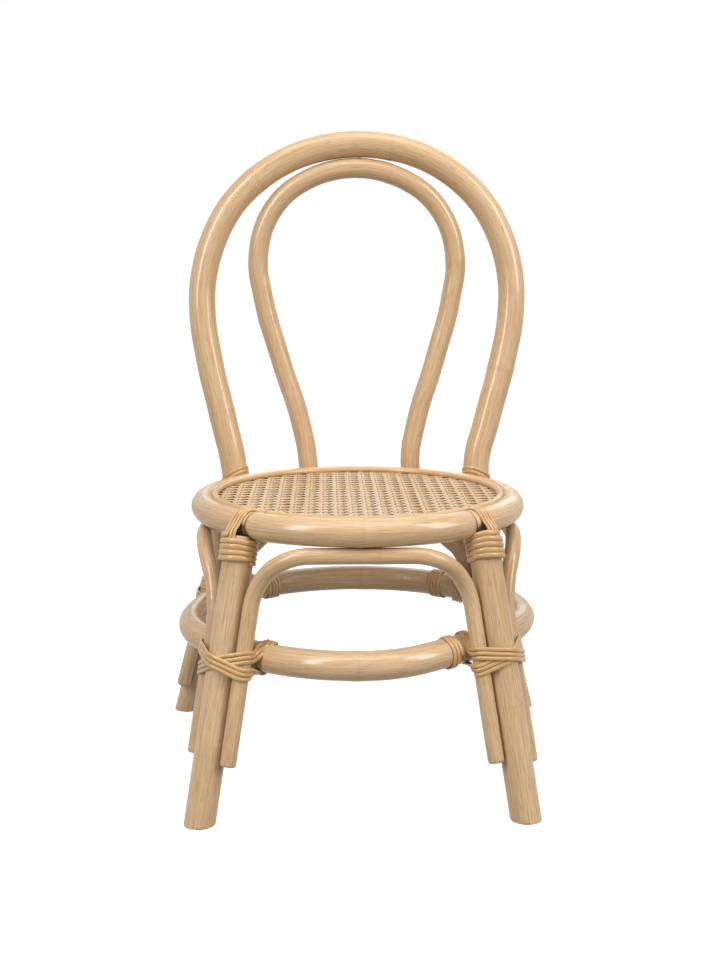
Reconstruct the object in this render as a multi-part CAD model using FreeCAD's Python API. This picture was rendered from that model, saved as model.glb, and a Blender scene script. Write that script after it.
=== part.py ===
import FreeCAD, Part
import math
import os

# Child's rattan bistro chair: bent rattan poles tied with rattan peel, and a round seat of woven cane.
# Millimetres and degrees. The origin is on the floor, under the middle of the seat.
# +X is to the right and +Y to the back, seen from the front of the chair. +Z is up.
# A turn is an angle round the seat's upright axis, counted from the front towards +X.

V = FreeCAD.Vector
ORIGIN = V(0, 0, 0)
UP = V(0, 0, 1)
FULL_TURN = 360.0
QUARTER = 90.0
LEFT, RIGHT = -1, 1

# General fits
seat_gap = 0.3
overrun = 6.0

# Rattan poles, diameters
leg_pole = 28.0
hoop_pole = 27.6
inner_pole = 20.8
seat_pole = 25.0
stretcher_pole = 26.0
arch_pole = 14.6

# Seat ring
seat_radius = 147.5
seat_height = 260.0
seat_joint_turn = 40.0
seat_joint_gap = 1.0
cane_ledge_depth = 6.0
cane_ledge_width = 6.5

# Cane panel and the spline ring over its edge
cane_thickness = 1.7
cane_pitch = 13.4
cane_hole = 6.6
cane_rim = 7.5
spline_width = 6.6
spline_height = 6.0
spline_joint_turn = -37.5
spline_joint_gap = 0.6

# Front legs
front_leg_turn = 43.8
front_leg_skew = 0.5
leg_top_setout = 7.5
leg_top_rise = 4.0
front_foot_setout = 62.0

# Stretcher ring
stretcher_drop = 114.4
stretcher_fullness = 10.5
stretcher_bulge = 1.8
stretcher_twist = 2.8
stretcher_joint_gap = 0.6

# Outer back hoop with the rear legs
hoop_seat_turn = 133.0
hoop_seat_shift = 2.0
rear_leg_turn = 129.3
rear_foot_setout = 92.0
hoop_rise = 352.0
hoop_flare = 34.7
hoop_recline = 40.5
hoop_sway = 6.0
hoop_rise_shares = (0.065, 0.187, 0.364, 0.483, 0.597, 0.719, 0.837, 0.919)
hoop_width_shares = (0.797, 0.861, 0.955, 0.999, 1.0, 0.935, 0.789, 0.592)
rear_flank_rise = 28.0
rear_knee_drop_share = 0.52
rear_knee_out_share = 0.35
rear_knee_turn_share = 0.67

# Inner back hoop, whose ends sweep out below the seat
inner_seat_turn = 160.8
inner_spread = 57.2
inner_seat_shift = 6.5
inner_shift = 5.6
inner_sweep_shift = 3.5
inner_top_shift = 2.5
inner_rise_shares = (0.070, 0.185, 0.382, 0.578, 0.708, 0.836, 0.915, 0.968)
inner_width_shares = (0.535, 0.602, 0.787, 0.950, 1.0, 0.901, 0.717, 0.457)
inner_sweep_drop_shares = (0.317, 0.633)
inner_sweep_out_shares = (0.165, 0.565)
inner_sweep_back_shares = (0.125, 0.46)
inner_tuck = 8.0
inner_end_drop = 65.6

# Arches under the seat
arch_flat = 88.0
arch_shoulder_drop_share = 0.53
arch_tuck = 8.0
arch_inner_tuck = 17.0
arch_front_end_height = 57.0
arch_rear_end_height = 38.0

# Ties of rattan peel
peel_gap = 0.5
peel_cross_gap = 1.0
strap_peel = 2.4
strap_pitch = 3.4
strap_count = 4
strap_hang = 13.0
strap_lean = 35.0
strap_end_lean = 113.0
top_wind_peel = 3.2
top_wind_pitch = 4.0
top_wind_turns = 4.75
top_wind_drop = 0.6
hoop_collar_peel = 2.8
hoop_collar_pitch = 3.8
hoop_collar_turns = 2.25
hoop_collar_sink = 0.6
lashing_peel = 2.8
lashing_gap = 1.0
lashing_pitch = 4.2
lashing_turns = 2.75
lashing_lean = 27.0
lashing_slack = 1.2
lashing_tip_turn = 15.0
lashing_ring_share = 0.3
lashing_front_left_reach = 33.0
lashing_front_right_reach = 24.0
lashing_rear_reach = 25.0
collar_peel = 2.8
collar_pitch = 4.0
collar_front_left_turns = 1.25
collar_front_right_turns = 2.25
collar_rear_turns = 4.25
collar_front_left_offset = 21.0
collar_front_right_offset = 37.5
collar_rear_offset = 43.5

# Screws and nails
screw_shank = 3.0
screw_head = 6.4
screw_head_height = 2.0
screw_hole_gap = 0.1
leg_screw_setout = 2.5
leg_screw_sink = 1.5
leg_screw_length = 42.0
hoop_screw_length = 45.0
inner_screw_length = 36.0
top_screw_length = 40.0
arch_nail_length = 26.0
stretcher_screw_length = 40.0

# Radii and places that follow from the sizes
leg_radius = leg_pole / 2
hoop_radius = hoop_pole / 2
inner_radius = inner_pole / 2
seat_tube = seat_pole / 2
stretcher_tube = stretcher_pole / 2
arch_radius = arch_pole / 2
cane_bed = seat_height + seat_tube - cane_ledge_depth
cane_radius = seat_radius - cane_ledge_width - seat_gap
stretcher_height = seat_height - stretcher_drop
inner_end_height = stretcher_height - inner_end_drop
parts = {}


def radial(turn):
    a = math.radians(turn)
    return V(math.sin(a), -math.cos(a), 0)


def sideways(turn):
    a = math.radians(turn)
    return V(math.cos(a), math.sin(a), 0)


def around(radius, turn, height):
    return radial(turn) * radius + UP * height


def unit(vector):
    return V(vector).normalize()


def between(start, end, share):
    return start + (end - start) * share


# Smooth lines made of tangent arcs
def arc_edge(start, corner, end):
    chord = (end - start).Length
    leg = (corner - start).Length
    if leg + (end - corner).Length <= chord * (1 + 1e-7):
        return Part.makeLine(start, end)
    spread = chord / 2 / leg
    middle = (start + end) * 0.5
    crown = middle + (corner - middle) * (spread / (1 + spread))
    return Part.Arc(start, crown, end).toShape()


def two_arcs(start, start_way, end, end_way):
    chord = end - start
    ways = start_way + end_way
    bend = 2 * (1 - start_way.dot(end_way))
    along = chord.dot(ways)
    if bend < 1e-9:
        reach = chord.dot(chord) / (2 * along)
    else:
        reach = (math.sqrt(along ** 2 + bend * chord.dot(chord)) - along) / bend
    first = start + start_way * reach
    second = end - end_way * reach
    joint = (first + second) * 0.5
    return [arc_edge(start, first, joint), arc_edge(joint, second, end)]


def easy_ways(points):
    steps = [b - a for a, b in zip(points, points[1:])]
    ways = []
    for a, b in zip(steps, steps[1:]):
        ways.append(unit(a * (b.Length / a.Length) + b * (a.Length / b.Length)))
    first = unit(steps[0])
    last = unit(steps[-1])
    ways.insert(0, unit(first * (2 * first.dot(ways[0])) - ways[0]))
    ways.append(unit(last * (2 * last.dot(ways[-1])) - ways[-1]))
    return ways


def path_edges(points, ways):
    edges = []
    for i in range(len(points) - 1):
        edges += two_arcs(points[i], ways[i], points[i + 1], ways[i + 1])
    return edges


def rod(points, ways, radius):
    wire = Part.Wire(path_edges(points, ways))
    ring = Part.Wire([Part.Circle(points[0], ways[0], radius).toShape()])
    return wire.makePipeShell([ring], True, False)


def smooth_rod(points, radius, fixed):
    ways = easy_ways(points)
    for index, way in fixed.items():
        ways[index] = way
    return rod(points, ways, radius)


# Lines of the legs, in the upright plane of each leg
front_top_radius = seat_radius + leg_top_setout
front_foot_radius = seat_radius + front_foot_setout
rear_foot_radius = seat_radius + rear_foot_setout
leg_top_height = seat_height - seat_tube
leg_slope = (front_foot_radius - front_top_radius) / leg_top_height
leg_lean = math.atan(leg_slope)


def front_turn(side):
    return side * front_leg_turn + front_leg_skew


def front_axis(side, height):
    return around(front_foot_radius - leg_slope * height, front_turn(side), height)


def front_way(side):
    return unit(front_axis(side, seat_height) - front_axis(side, 0))


def stretcher_level(side, share):
    return stretcher_height + side * stretcher_twist * share


def ring_radius_at(level):
    reach = (leg_radius + stretcher_tube + seat_gap) / math.cos(leg_lean)
    return front_foot_radius - leg_slope * level - reach


def front_ring_radius(side):
    return ring_radius_at(stretcher_level(side, 1))


def front_joint(side):
    spacing = leg_radius + stretcher_tube + seat_gap
    centre = around(front_ring_radius(side), front_turn(side), stretcher_level(side, 1))
    return centre + across(front_way(side), front_turn(side)) * spacing


def across(way, turn):
    out = radial(turn)
    return unit(out - way * out.dot(way))


rear_spacing = hoop_radius + stretcher_tube + seat_gap
stretcher_radius = ring_radius_at(stretcher_height) + stretcher_fullness
rear_inset = rear_foot_radius - stretcher_radius
rear_reach = math.hypot(rear_inset, stretcher_height)
rear_lean = math.atan2(rear_inset, stretcher_height) - math.asin(rear_spacing / rear_reach)
rear_touch = math.sqrt(rear_reach ** 2 - rear_spacing ** 2)


def rear_way(side):
    return unit(radial(side * rear_leg_turn) * -math.sin(rear_lean) + UP * math.cos(rear_lean))


def rear_foot(side):
    return around(rear_foot_radius, side * rear_leg_turn, 0)


def rear_joint(side):
    return rear_foot(side) + rear_way(side) * rear_touch


def rear_axis(side, height):
    return rear_foot(side) + rear_way(side) * (height / math.cos(rear_lean))


# Frame: outer hoop with the rear legs
hoop_seat_radius = seat_radius + seat_tube + hoop_radius + seat_gap
hoop_seat_place = around(hoop_seat_radius, hoop_seat_turn, seat_height)
hoop_half_width = hoop_seat_place.x + hoop_flare
hoop_top_back = hoop_seat_place.y + hoop_recline


def hoop_side(side):
    contact_turn = side * hoop_seat_turn - math.degrees(hoop_seat_shift / hoop_seat_radius)
    contact = around(hoop_seat_radius, contact_turn, seat_height)
    touch = rear_axis(side, stretcher_height + rear_flank_rise)
    touch_radius = math.hypot(touch.x, touch.y)
    knee_radius = hoop_seat_radius + (touch_radius - hoop_seat_radius) * rear_knee_out_share
    knee_turn = hoop_seat_turn + (rear_leg_turn - hoop_seat_turn) * rear_knee_turn_share
    knee_height = seat_height + (touch.z - seat_height) * rear_knee_drop_share
    knee = around(knee_radius, side * knee_turn, knee_height)
    foot = rear_foot(side) - rear_way(side) * overrun
    points = [foot, touch, knee, contact]
    for rise, width in zip(hoop_rise_shares, hoop_width_shares):
        back = contact.y + (hoop_top_back - contact.y) * rise
        x = side * hoop_half_width * width + hoop_sway * rise
        points.append(V(x, back, seat_height + hoop_rise * rise))
    return points


hoop_top = V(hoop_sway, hoop_top_back, seat_height + hoop_rise)
left_points = hoop_side(LEFT)
right_points = hoop_side(RIGHT)
hoop_points = left_points + [hoop_top] + right_points[::-1]
last = len(hoop_points) - 1
hoop_fixed = {
    0: rear_way(LEFT),
    1: rear_way(LEFT),
    last - 1: rear_way(RIGHT) * -1,
    last: rear_way(RIGHT) * -1,
}
hoop = smooth_rod(hoop_points, hoop_radius, hoop_fixed)
floor_reach = (rear_foot_radius + hoop_pole) * 2
floor_block = Part.makeBox(floor_reach, floor_reach, overrun * 4, V(-floor_reach / 2, -floor_reach / 2, -overrun * 4))
hoop = hoop.cut(floor_block)


# Frame: poles tied beside a leg run along it at a fixed offset
def beside(base, way, turn, spacing, tuck, direction):
    out = across(way, turn)
    side_way = unit(way.cross(out)) * direction
    a = math.radians(tuck)
    return base + (side_way * math.cos(a) - out * math.sin(a)) * spacing


inner_top = V(inner_top_shift, hoop_top_back, hoop_top.z - hoop_radius - inner_radius - seat_gap)
inner_seat_radius = seat_radius + seat_tube + inner_radius + seat_gap
inner_half_width = hoop_half_width - inner_spread
inner_spacing = hoop_radius + inner_radius + seat_gap
arch_rear_spacing = hoop_radius + arch_radius + seat_gap
arch_front_spacing = leg_radius + arch_radius + seat_gap


def inner_beside(side, height):
    return beside(rear_axis(side, height), rear_way(side), side * rear_leg_turn, inner_spacing, inner_tuck, side)


def inner_side(side):
    contact_turn = side * inner_seat_turn - math.degrees(inner_seat_shift / inner_seat_radius)
    contact = around(inner_seat_radius, contact_turn, seat_height)
    end = inner_beside(side, inner_end_height)
    flank = inner_beside(side, stretcher_height + rear_flank_rise)
    points = [end, flank]
    sweep = zip(inner_sweep_drop_shares, inner_sweep_out_shares, inner_sweep_back_shares)
    knees = []
    for drop, out, back in sweep:
        knees.append(V(
            contact.x + (flank.x - contact.x) * out - inner_sweep_shift,
            contact.y + (flank.y - contact.y) * back,
            contact.z + (flank.z - contact.z) * drop,
        ))
    points += knees[::-1] + [contact]
    rise_height = inner_top.z - seat_height
    for rise, width in zip(inner_rise_shares, inner_width_shares):
        back = contact.y + (inner_top.y - contact.y) * rise
        shift = inner_shift + (inner_top_shift - inner_shift) * rise
        x = side * inner_half_width * width + shift
        points.append(V(x, back, seat_height + rise_height * rise))
    return points


inner_left = inner_side(LEFT)
inner_right = inner_side(RIGHT)
inner_points = inner_left + [inner_top] + inner_right[::-1]
last = len(inner_points) - 1
inner_fixed = {
    0: rear_way(LEFT),
    1: rear_way(LEFT),
    last - 1: rear_way(RIGHT) * -1,
    last: rear_way(RIGHT) * -1,
}
inner_hoop = smooth_rod(inner_points, inner_radius, inner_fixed)


# Frame: seat ring in two pieces, with the ledge for the cane
def ring_piece(radius, height, tube, start_turn, sweep):
    section = Part.Circle(around(radius, start_turn, height), sideways(start_turn), tube).toShape()
    return Part.Face(Part.Wire([section])).revolve(ORIGIN, UP, sweep)


joint_half_angle = math.degrees(seat_joint_gap / 2 / seat_radius)
front_sweep = 2 * (seat_joint_turn - joint_half_angle)
rear_sweep = FULL_TURN - 2 * (seat_joint_turn + joint_half_angle)
cane_ledge = Part.makeCylinder(cane_radius + seat_gap, cane_ledge_depth + overrun, UP * cane_bed)
seat_front = ring_piece(seat_radius, seat_height, seat_tube, -front_sweep / 2, front_sweep).cut(cane_ledge)
seat_rear = ring_piece(seat_radius, seat_height, seat_tube, seat_joint_turn + joint_half_angle, rear_sweep)
seat_rear = seat_rear.cut(cane_ledge)

# Seat: cane panel as one holed face, and the spline ring
hole_radius = cane_hole / 2 / math.cos(math.pi / 8)
net_radius = cane_radius - cane_rim - hole_radius
steps = int(net_radius / cane_pitch) + 1
wires = [Part.Wire([Part.Circle(UP * cane_bed, UP, cane_radius).toShape()])]
for i in range(-steps, steps + 1):
    for j in range(-steps, steps + 1):
        centre = V(i * cane_pitch, j * cane_pitch, cane_bed)
        if math.hypot(centre.x, centre.y) > net_radius:
            continue
        corners = [centre + radial(QUARTER / 4 + k * QUARTER / 2) * hole_radius for k in range(8)]
        wires.append(Part.makePolygon(corners + corners[:1]))
print("cane holes", len(wires) - 1)
cane_panel = Part.Face(wires, "Part::FaceMakerBullseye").extrude(UP * cane_thickness)

spline_base = cane_bed + cane_thickness
spline_outer = cane_radius
spline_inner = spline_outer - spline_width
spline_side = spline_height - spline_width / 2


def spline_point(radius, height, turn):
    return around(radius, turn, spline_base + height)


spline_half_angle = math.degrees(spline_joint_gap / 2 / spline_outer)
t = spline_joint_turn + spline_half_angle
spline_edges = [
    Part.makeLine(spline_point(spline_inner, 0, t), spline_point(spline_outer, 0, t)),
    Part.makeLine(spline_point(spline_outer, 0, t), spline_point(spline_outer, spline_side, t)),
    Part.Arc(
        spline_point(spline_outer, spline_side, t),
        spline_point(spline_outer - spline_width / 2, spline_height, t),
        spline_point(spline_inner, spline_side, t),
    ).toShape(),
    Part.makeLine(spline_point(spline_inner, spline_side, t), spline_point(spline_inner, 0, t)),
]
spline_face = Part.Face(Part.Wire(spline_edges))
spline_ring = spline_face.revolve(ORIGIN, UP, FULL_TURN - 2 * spline_half_angle)


# Frame: front legs, hollowed on top to the shape of the seat ring
def front_leg(side):
    way = front_way(side)
    bottom = front_axis(side, 0) - way * overrun
    top = front_axis(side, leg_top_height + leg_top_rise)
    leg = Part.makeCylinder(leg_radius, (top - bottom).Length, bottom, way)
    saddle = Part.makeTorus(seat_radius, seat_tube + seat_gap, UP * seat_height)
    return leg.cut(floor_block).cut(saddle)


leg_left = front_leg(LEFT)
leg_right = front_leg(RIGHT)

# Frame: stretcher ring, one pole whose ends butt behind the left rear leg
butt_half_angle = math.degrees(stretcher_joint_gap / 2 / stretcher_radius)
ring_stations = [
    (-rear_leg_turn + butt_half_angle, stretcher_radius, 0),
    (-QUARTER, stretcher_radius + stretcher_bulge, -1),
    (front_turn(LEFT), front_ring_radius(LEFT), -1),
    (0, stretcher_radius, 0),
    (front_turn(RIGHT), front_ring_radius(RIGHT), 1),
    (QUARTER, stretcher_radius, 1),
    (rear_leg_turn, stretcher_radius, 0),
    (2 * QUARTER, stretcher_radius, 0),
    (FULL_TURN - rear_leg_turn - butt_half_angle, stretcher_radius, 0),
]
ring_points = []
ring_ways = []
for turn, radius, twist in ring_stations:
    ring_points.append(around(radius, turn, stretcher_level(twist, 1)))
    ring_ways.append(sideways(turn))
stretcher = rod(ring_points, ring_ways, stretcher_tube)


# Frame: arches under the seat
def front_beside(side, height, direction, tuck):
    return beside(front_axis(side, height), front_way(side), front_turn(side),
                  arch_front_spacing, tuck, direction)


def rear_beside(side, height):
    return beside(rear_axis(side, height), rear_way(side), side * rear_leg_turn,
                  arch_rear_spacing, arch_tuck, -side)


arch_top_height = seat_height - seat_tube - seat_gap - arch_radius
arch_hip_height = arch_top_height - (arch_top_height - stretcher_height) * arch_shoulder_drop_share


def arch(start_end, start_hip, start_way, middle_turn, end_hip, end_end, end_way):
    middle = around(seat_radius, middle_turn, arch_top_height)
    flat_way = sideways(middle_turn)
    points = [start_end, start_hip, middle - flat_way * (arch_flat / 2), middle + flat_way * (arch_flat / 2),
              end_hip, end_end]
    ways = [start_way, start_way, flat_way, flat_way, end_way * -1, end_way * -1]
    return rod(points, ways, arch_radius)


arch_front = arch(
    front_beside(LEFT, arch_front_end_height, -LEFT, arch_tuck),
    front_beside(LEFT, arch_hip_height, -LEFT, arch_tuck),
    front_way(LEFT), 0,
    front_beside(RIGHT, arch_hip_height, -RIGHT, arch_inner_tuck),
    front_beside(RIGHT, arch_front_end_height, -RIGHT, arch_inner_tuck),
    front_way(RIGHT),
)


def side_arch(side):
    ends = [
        (front_beside(side, arch_front_end_height, side, arch_tuck),
         front_beside(side, arch_hip_height, side, arch_tuck), front_way(side)),
        (rear_beside(side, arch_rear_end_height),
         rear_beside(side, stretcher_height + rear_flank_rise), rear_way(side)),
    ]
    if side == LEFT:
        ends.reverse()
    (low_a, hip_a, way_a), (low_b, hip_b, way_b) = ends
    return arch(low_a, hip_a, way_a, side * QUARTER, hip_b, low_b, way_b)


arch_left = side_arch(LEFT)
arch_right = side_arch(RIGHT)


# Ties: a winding is one unbroken tube pulled round a group of round poles
def taut_loop(circles, grow):
    count = len(circles)
    stations = []
    length = 0
    if count == 1:
        x, y, r = circles[0]
        r = r + grow
        for k in range(4):
            a = k * math.pi / 2
            stations.append((x + r * math.cos(a), y + r * math.sin(a), -math.sin(a), math.cos(a), r * a))
        return stations, 2 * math.pi * r
    angles = []
    for i in range(count):
        x0, y0, r0 = circles[i]
        x1, y1, r1 = circles[(i + 1) % count]
        reach = math.hypot(x1 - x0, y1 - y0)
        angles.append(math.atan2(y1 - y0, x1 - x0) - math.acos((r0 - r1) / reach))
    for i in range(count):
        x, y, r = circles[i]
        r = r + grow
        start = angles[i - 1]
        turn = (angles[i] - start) % (2 * math.pi)
        pieces = 2 if turn > math.pi / 2 else 1
        for k in range(pieces + 1):
            a = start + turn * k / pieces
            stations.append((x + r * math.cos(a), y + r * math.sin(a), -math.sin(a), math.cos(a),
                             length + r * turn * k / pieces))
        length += r * turn
        nx, ny, nr = circles[(i + 1) % count]
        nr = nr + grow
        a = angles[i]
        length += math.hypot(nx + nr * math.cos(a) - x - r * math.cos(a), ny + nr * math.sin(a) - y - r * math.sin(a))
    return stations, length


def flat_loop(origin, u, v, circles, grow):
    n = unit(u.cross(v))
    loop, length = taut_loop(circles, grow)
    return [(origin + u * x + v * y, u * tx + v * ty, n, s) for x, y, tx, ty, s in loop], length


def winding(name, loop, length, turns, pitch, peel):
    points = []
    ways = []
    for k in range(int(turns * len(loop)) + 1):
        point, way, n, s = loop[k % len(loop)]
        advance = pitch * (k // len(loop) + s / length - turns / 2)
        points.append(point + n * advance)
        ways.append(unit(way + n * (pitch / length)))
    edges = path_edges(points, ways)
    print_gap(name, edges, length, peel)
    wire = Part.Wire(edges)
    ring = Part.Wire([Part.Circle(points[0], ways[0], peel / 2).toShape()])
    parts[name] = wire.makePipeShell([ring], True, False)


def print_gap(name, edges, loop_length, peel):
    samples = []
    travelled = 0
    for edge in edges:
        for point in edge.discretize(5)[:-1]:
            samples.append((travelled, point))
            travelled += edge.Length / 4
    least = min(
        ((a[1] - b[1]).Length for i, a in enumerate(samples) for b in samples[i + 1:]
         if b[0] - a[0] > loop_length / 2),
        default=peel,
    )
    print(name, "least gap to itself", round(least - peel, 2))


def tie_frame(way, turn):
    v = across(way, turn)
    return unit(v.cross(way)), v


# Ties: strands over the seat ring at each front leg, and the winding below them
strap_reach = seat_tube + seat_gap + strap_peel / 2


def strap_point(lean, turn):
    a = math.radians(lean)
    return around(seat_radius + strap_reach * math.cos(a), turn, seat_height + strap_reach * math.sin(a))


def strap_way(lean, turn):
    a = math.radians(lean)
    return radial(turn) * -math.sin(a) + UP * math.cos(a)


def straps(side):
    strands = []
    way = front_way(side)
    step = math.degrees(strap_pitch / seat_radius)
    for k in range(strap_count):
        turn = front_turn(side) + (k - (strap_count - 1) / 2) * step
        shift = (k - (strap_count - 1) / 2) * strap_pitch
        stand_off = math.sqrt((leg_radius + seat_gap + strap_peel / 2) ** 2 - shift ** 2)
        low = front_axis(side, leg_top_height - strap_hang) + across(way, front_turn(side)) * stand_off
        low = low + sideways(front_turn(side)) * shift
        high = low + way * (strap_hang + leg_top_rise)
        points = [low, high, strap_point(strap_lean, turn), strap_point(QUARTER, turn), strap_point(strap_end_lean, turn)]
        ways = [way, way, strap_way(strap_lean, turn), strap_way(QUARTER, turn), strap_way(strap_end_lean, turn)]
        strands.append(rod(points, ways, strap_peel / 2))
    return Part.makeCompound(strands)


def top_wind(name, side):
    way = front_way(side)
    u, v = tie_frame(way, front_turn(side))
    half = top_wind_turns * top_wind_pitch / 2
    drop = top_wind_drop + top_wind_peel / 2 + half
    centre = front_axis(side, leg_top_height) - way * drop
    outward = strap_peel + seat_gap * 2
    circles = [(0, 0, leg_radius), (0, outward, leg_radius)]
    loop, length = flat_loop(centre, u, v, circles, seat_gap + top_wind_peel / 2)
    winding(name, loop, length, top_wind_turns, top_wind_pitch, top_wind_peel)


parts["leg_straps_left"] = straps(LEFT)
parts["leg_straps_right"] = straps(RIGHT)
top_wind("leg_winding_left", LEFT)
top_wind("leg_winding_right", RIGHT)


# Ties: collar round each foot of the hoop, just above the seat ring
def hoop_collar(name, points, sign):
    contact, above = points[3], points[4]
    way = unit(above - contact)
    half = hoop_collar_turns * hoop_collar_pitch / 2
    rise = seat_tube - hoop_collar_sink + half - hoop_collar_peel / 2
    centre = between(contact, above, rise / (above.z - contact.z))
    u, v = tie_frame(way, sign * hoop_seat_turn)
    loop, length = flat_loop(centre, u, v, [(0, 0, hoop_radius)], peel_gap + hoop_collar_peel / 2)
    winding(name, loop, length, hoop_collar_turns, hoop_collar_pitch, hoop_collar_peel)


hoop_collar("hoop_collar_left", left_points, LEFT)
hoop_collar("hoop_collar_right", right_points, RIGHT)


# Ties: two crossed lashings at each leg, over the leg and the pole ends beside it, then round the stretcher ring
def outer_touch(first, second):
    x0, y0, r0 = first
    x1, y1, r1 = second
    return math.atan2(y1 - y0, x1 - x0) % (2 * math.pi) - math.acos((r0 - r1) / math.hypot(x1 - x0, y1 - y0))


def placed(pole, direction):
    radius, spacing, tuck = pole
    a = math.radians(tuck)
    return (direction * spacing * math.cos(a), -spacing * math.sin(a), radius)


def crossed_loop(origin, way, turn, leg, near, far, reach, tube, sign, grow):
    u, v = tie_frame(way, turn)
    slope = -sign * math.tan(math.radians(lashing_lean))
    tip = math.radians(lashing_tip_turn)
    centre = (0, 0, leg)
    near_circle = placed(near, 1)
    far_circle = placed(far, -1)
    first = outer_touch(near_circle, centre)
    second = outer_touch(centre, far_circle)
    stations = []
    for circle, a in ((near_circle, -tip), (near_circle, first), (centre, first), (centre, second),
                      (far_circle, second), (far_circle, math.pi + tip)):
        x = circle[0] + (circle[2] + grow) * math.cos(a)
        y = circle[1] + (circle[2] + grow) * math.sin(a)
        out = u * math.cos(a) + v * math.sin(a)
        along = v * math.cos(a) - (u + way * slope) * math.sin(a)
        stations.append((origin + u * x + v * y + way * (slope * x), unit(along), unit(out.cross(along))))
    ring = tube + grow + lashing_slack
    axis = -(leg + stretcher_tube + seat_gap)
    for k in range(5):
        a = k * math.pi / 4
        even = reach * 2 / math.pi
        x = (even * a - reach) * lashing_ring_share - reach * math.cos(a) * (1 - lashing_ring_share)
        rate = even * lashing_ring_share + reach * math.sin(a) * (1 - lashing_ring_share)
        bow = x ** 2 / (2 * stretcher_radius)
        point = origin + u * x + v * (axis - bow - ring * math.sin(a)) + way * (sign * ring * math.cos(a))
        out = way * (sign * math.cos(a)) - v * math.sin(a)
        along = u * rate - way * (sign * ring * math.sin(a))
        along = along - v * (ring * math.cos(a) + x / stretcher_radius * rate)
        stations.append((point, unit(along), unit(out.cross(along))))
    full = []
    for k, station in enumerate(stations):
        full.append(station)
        if k in (5, len(stations) - 1):
            after = stations[(k + 1) % len(stations)]
            full.append((between(station[0], after[0], 0.5), unit(after[0] - station[0]), unit(station[2] + after[2])))
    loop = []
    length = 0
    for k, (point, along, flank) in enumerate(full):
        loop.append((point, along, flank, length))
        length += (full[(k + 1) % len(full)][0] - point).Length
    return loop, length


def lashings(name, joint, way, turn, leg, near, far, reach, tube):
    for label, sign, layer in (("under", 1, 0), ("over", -1, 1)):
        grow = lashing_gap + lashing_peel / 2 + layer * (lashing_peel + peel_cross_gap)
        loop, length = crossed_loop(joint, way, turn, leg, near, far, reach, tube, sign, grow)
        winding("lashing_" + name + "_" + label, loop, length, lashing_turns, lashing_pitch, lashing_peel)


collared_tube = stretcher_tube + peel_gap + collar_peel
front_pole = (arch_radius, arch_front_spacing, arch_tuck)
front_inner_pole = (arch_radius, arch_front_spacing, arch_inner_tuck)
lashings("front_left", front_joint(LEFT), front_way(LEFT), front_turn(LEFT), leg_radius,
         front_pole, front_pole, lashing_front_left_reach, collared_tube)
lashings("front_right", front_joint(RIGHT), front_way(RIGHT), front_turn(RIGHT), leg_radius,
         front_inner_pole, front_pole, lashing_front_right_reach, stretcher_tube)
rear_arch_pole = (arch_radius, arch_rear_spacing, arch_tuck)
rear_inner_pole = (inner_radius, inner_spacing, inner_tuck)
lashings("rear_left", rear_joint(LEFT), rear_way(LEFT), -rear_leg_turn, hoop_radius,
         rear_inner_pole, rear_arch_pole, lashing_rear_reach, stretcher_tube)
lashings("rear_right", rear_joint(RIGHT), rear_way(RIGHT), rear_leg_turn, hoop_radius,
         rear_arch_pole, rear_inner_pole, lashing_rear_reach, stretcher_tube)


# Ties: collars round the stretcher ring beside the lashings
def stretcher_collar(name, turn, offset, turns):
    place = turn + math.degrees(offset / stretcher_radius)
    samples = Part.Wire(path_edges(ring_points, ring_ways)).discretize(Distance=collar_peel)
    best = max(range(1, len(samples) - 1), key=lambda k: unit(V(samples[k].x, samples[k].y, 0)).dot(radial(place)))
    centre = samples[best]
    way = unit(samples[best + 1] - samples[best - 1])
    v = across(way, place)
    u = unit(v.cross(way))
    loop, length = flat_loop(centre, u, v, [(0, 0, stretcher_tube)], peel_gap + collar_peel / 2)
    winding(name, loop, length, turns, collar_pitch, collar_peel)


stretcher_collar("collar_front_left", front_turn(LEFT), collar_front_left_offset, collar_front_left_turns)
stretcher_collar("collar_front_right", front_turn(RIGHT), -collar_front_right_offset, collar_front_right_turns)
stretcher_collar("collar_rear_left", -rear_leg_turn, -collar_rear_offset, collar_rear_turns)
stretcher_collar("collar_rear_right", rear_leg_turn, collar_rear_offset, collar_rear_turns)


# Screws and nails, each in a pocket and a hole of its own
def screw(point, way, length):
    head = Part.makeCylinder(screw_head / 2, screw_head_height, point, way)
    shank = Part.makeCylinder(screw_shank / 2, length, point, way)
    return head.fuse(shank).removeSplitter()


def screw_hole(point, way, length):
    start = point - way * overrun
    pocket = Part.makeCylinder(screw_head / 2 + screw_hole_gap, screw_head_height + overrun, start, way)
    bore = Part.makeCylinder(screw_shank / 2 + screw_hole_gap, length + screw_hole_gap, point, way)
    return pocket.fuse(bore)


def set_screws(places, length):
    screws = [screw(point, way, length) for point, way in places]
    holes = Part.makeCompound([screw_hole(point, way, length) for point, way in places])
    return Part.makeCompound(screws), holes


leg_places = [(around(seat_radius + leg_screw_setout, front_turn(side), seat_height + seat_tube - leg_screw_sink),
               UP * -1) for side in (LEFT, RIGHT)]
parts["leg_screws"], leg_holes = set_screws(leg_places, leg_screw_length)

sunk = screw_head ** 2 / 8
hoop_places = []
for points in (left_points, right_points):
    way = unit(V(-points[3].x, -points[3].y, 0))
    hoop_places.append((points[3] - way * (hoop_radius - sunk / hoop_radius), way))
parts["hoop_screws"], hoop_holes = set_screws(hoop_places, hoop_screw_length)

inner_places = []
for points in (inner_left, inner_right):
    way = unit(V(-points[4].x, -points[4].y, 0))
    inner_places.append((points[4] - way * (inner_radius - sunk / inner_radius), way))
parts["inner_hoop_screws"], inner_holes = set_screws(inner_places, inner_screw_length)

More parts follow.
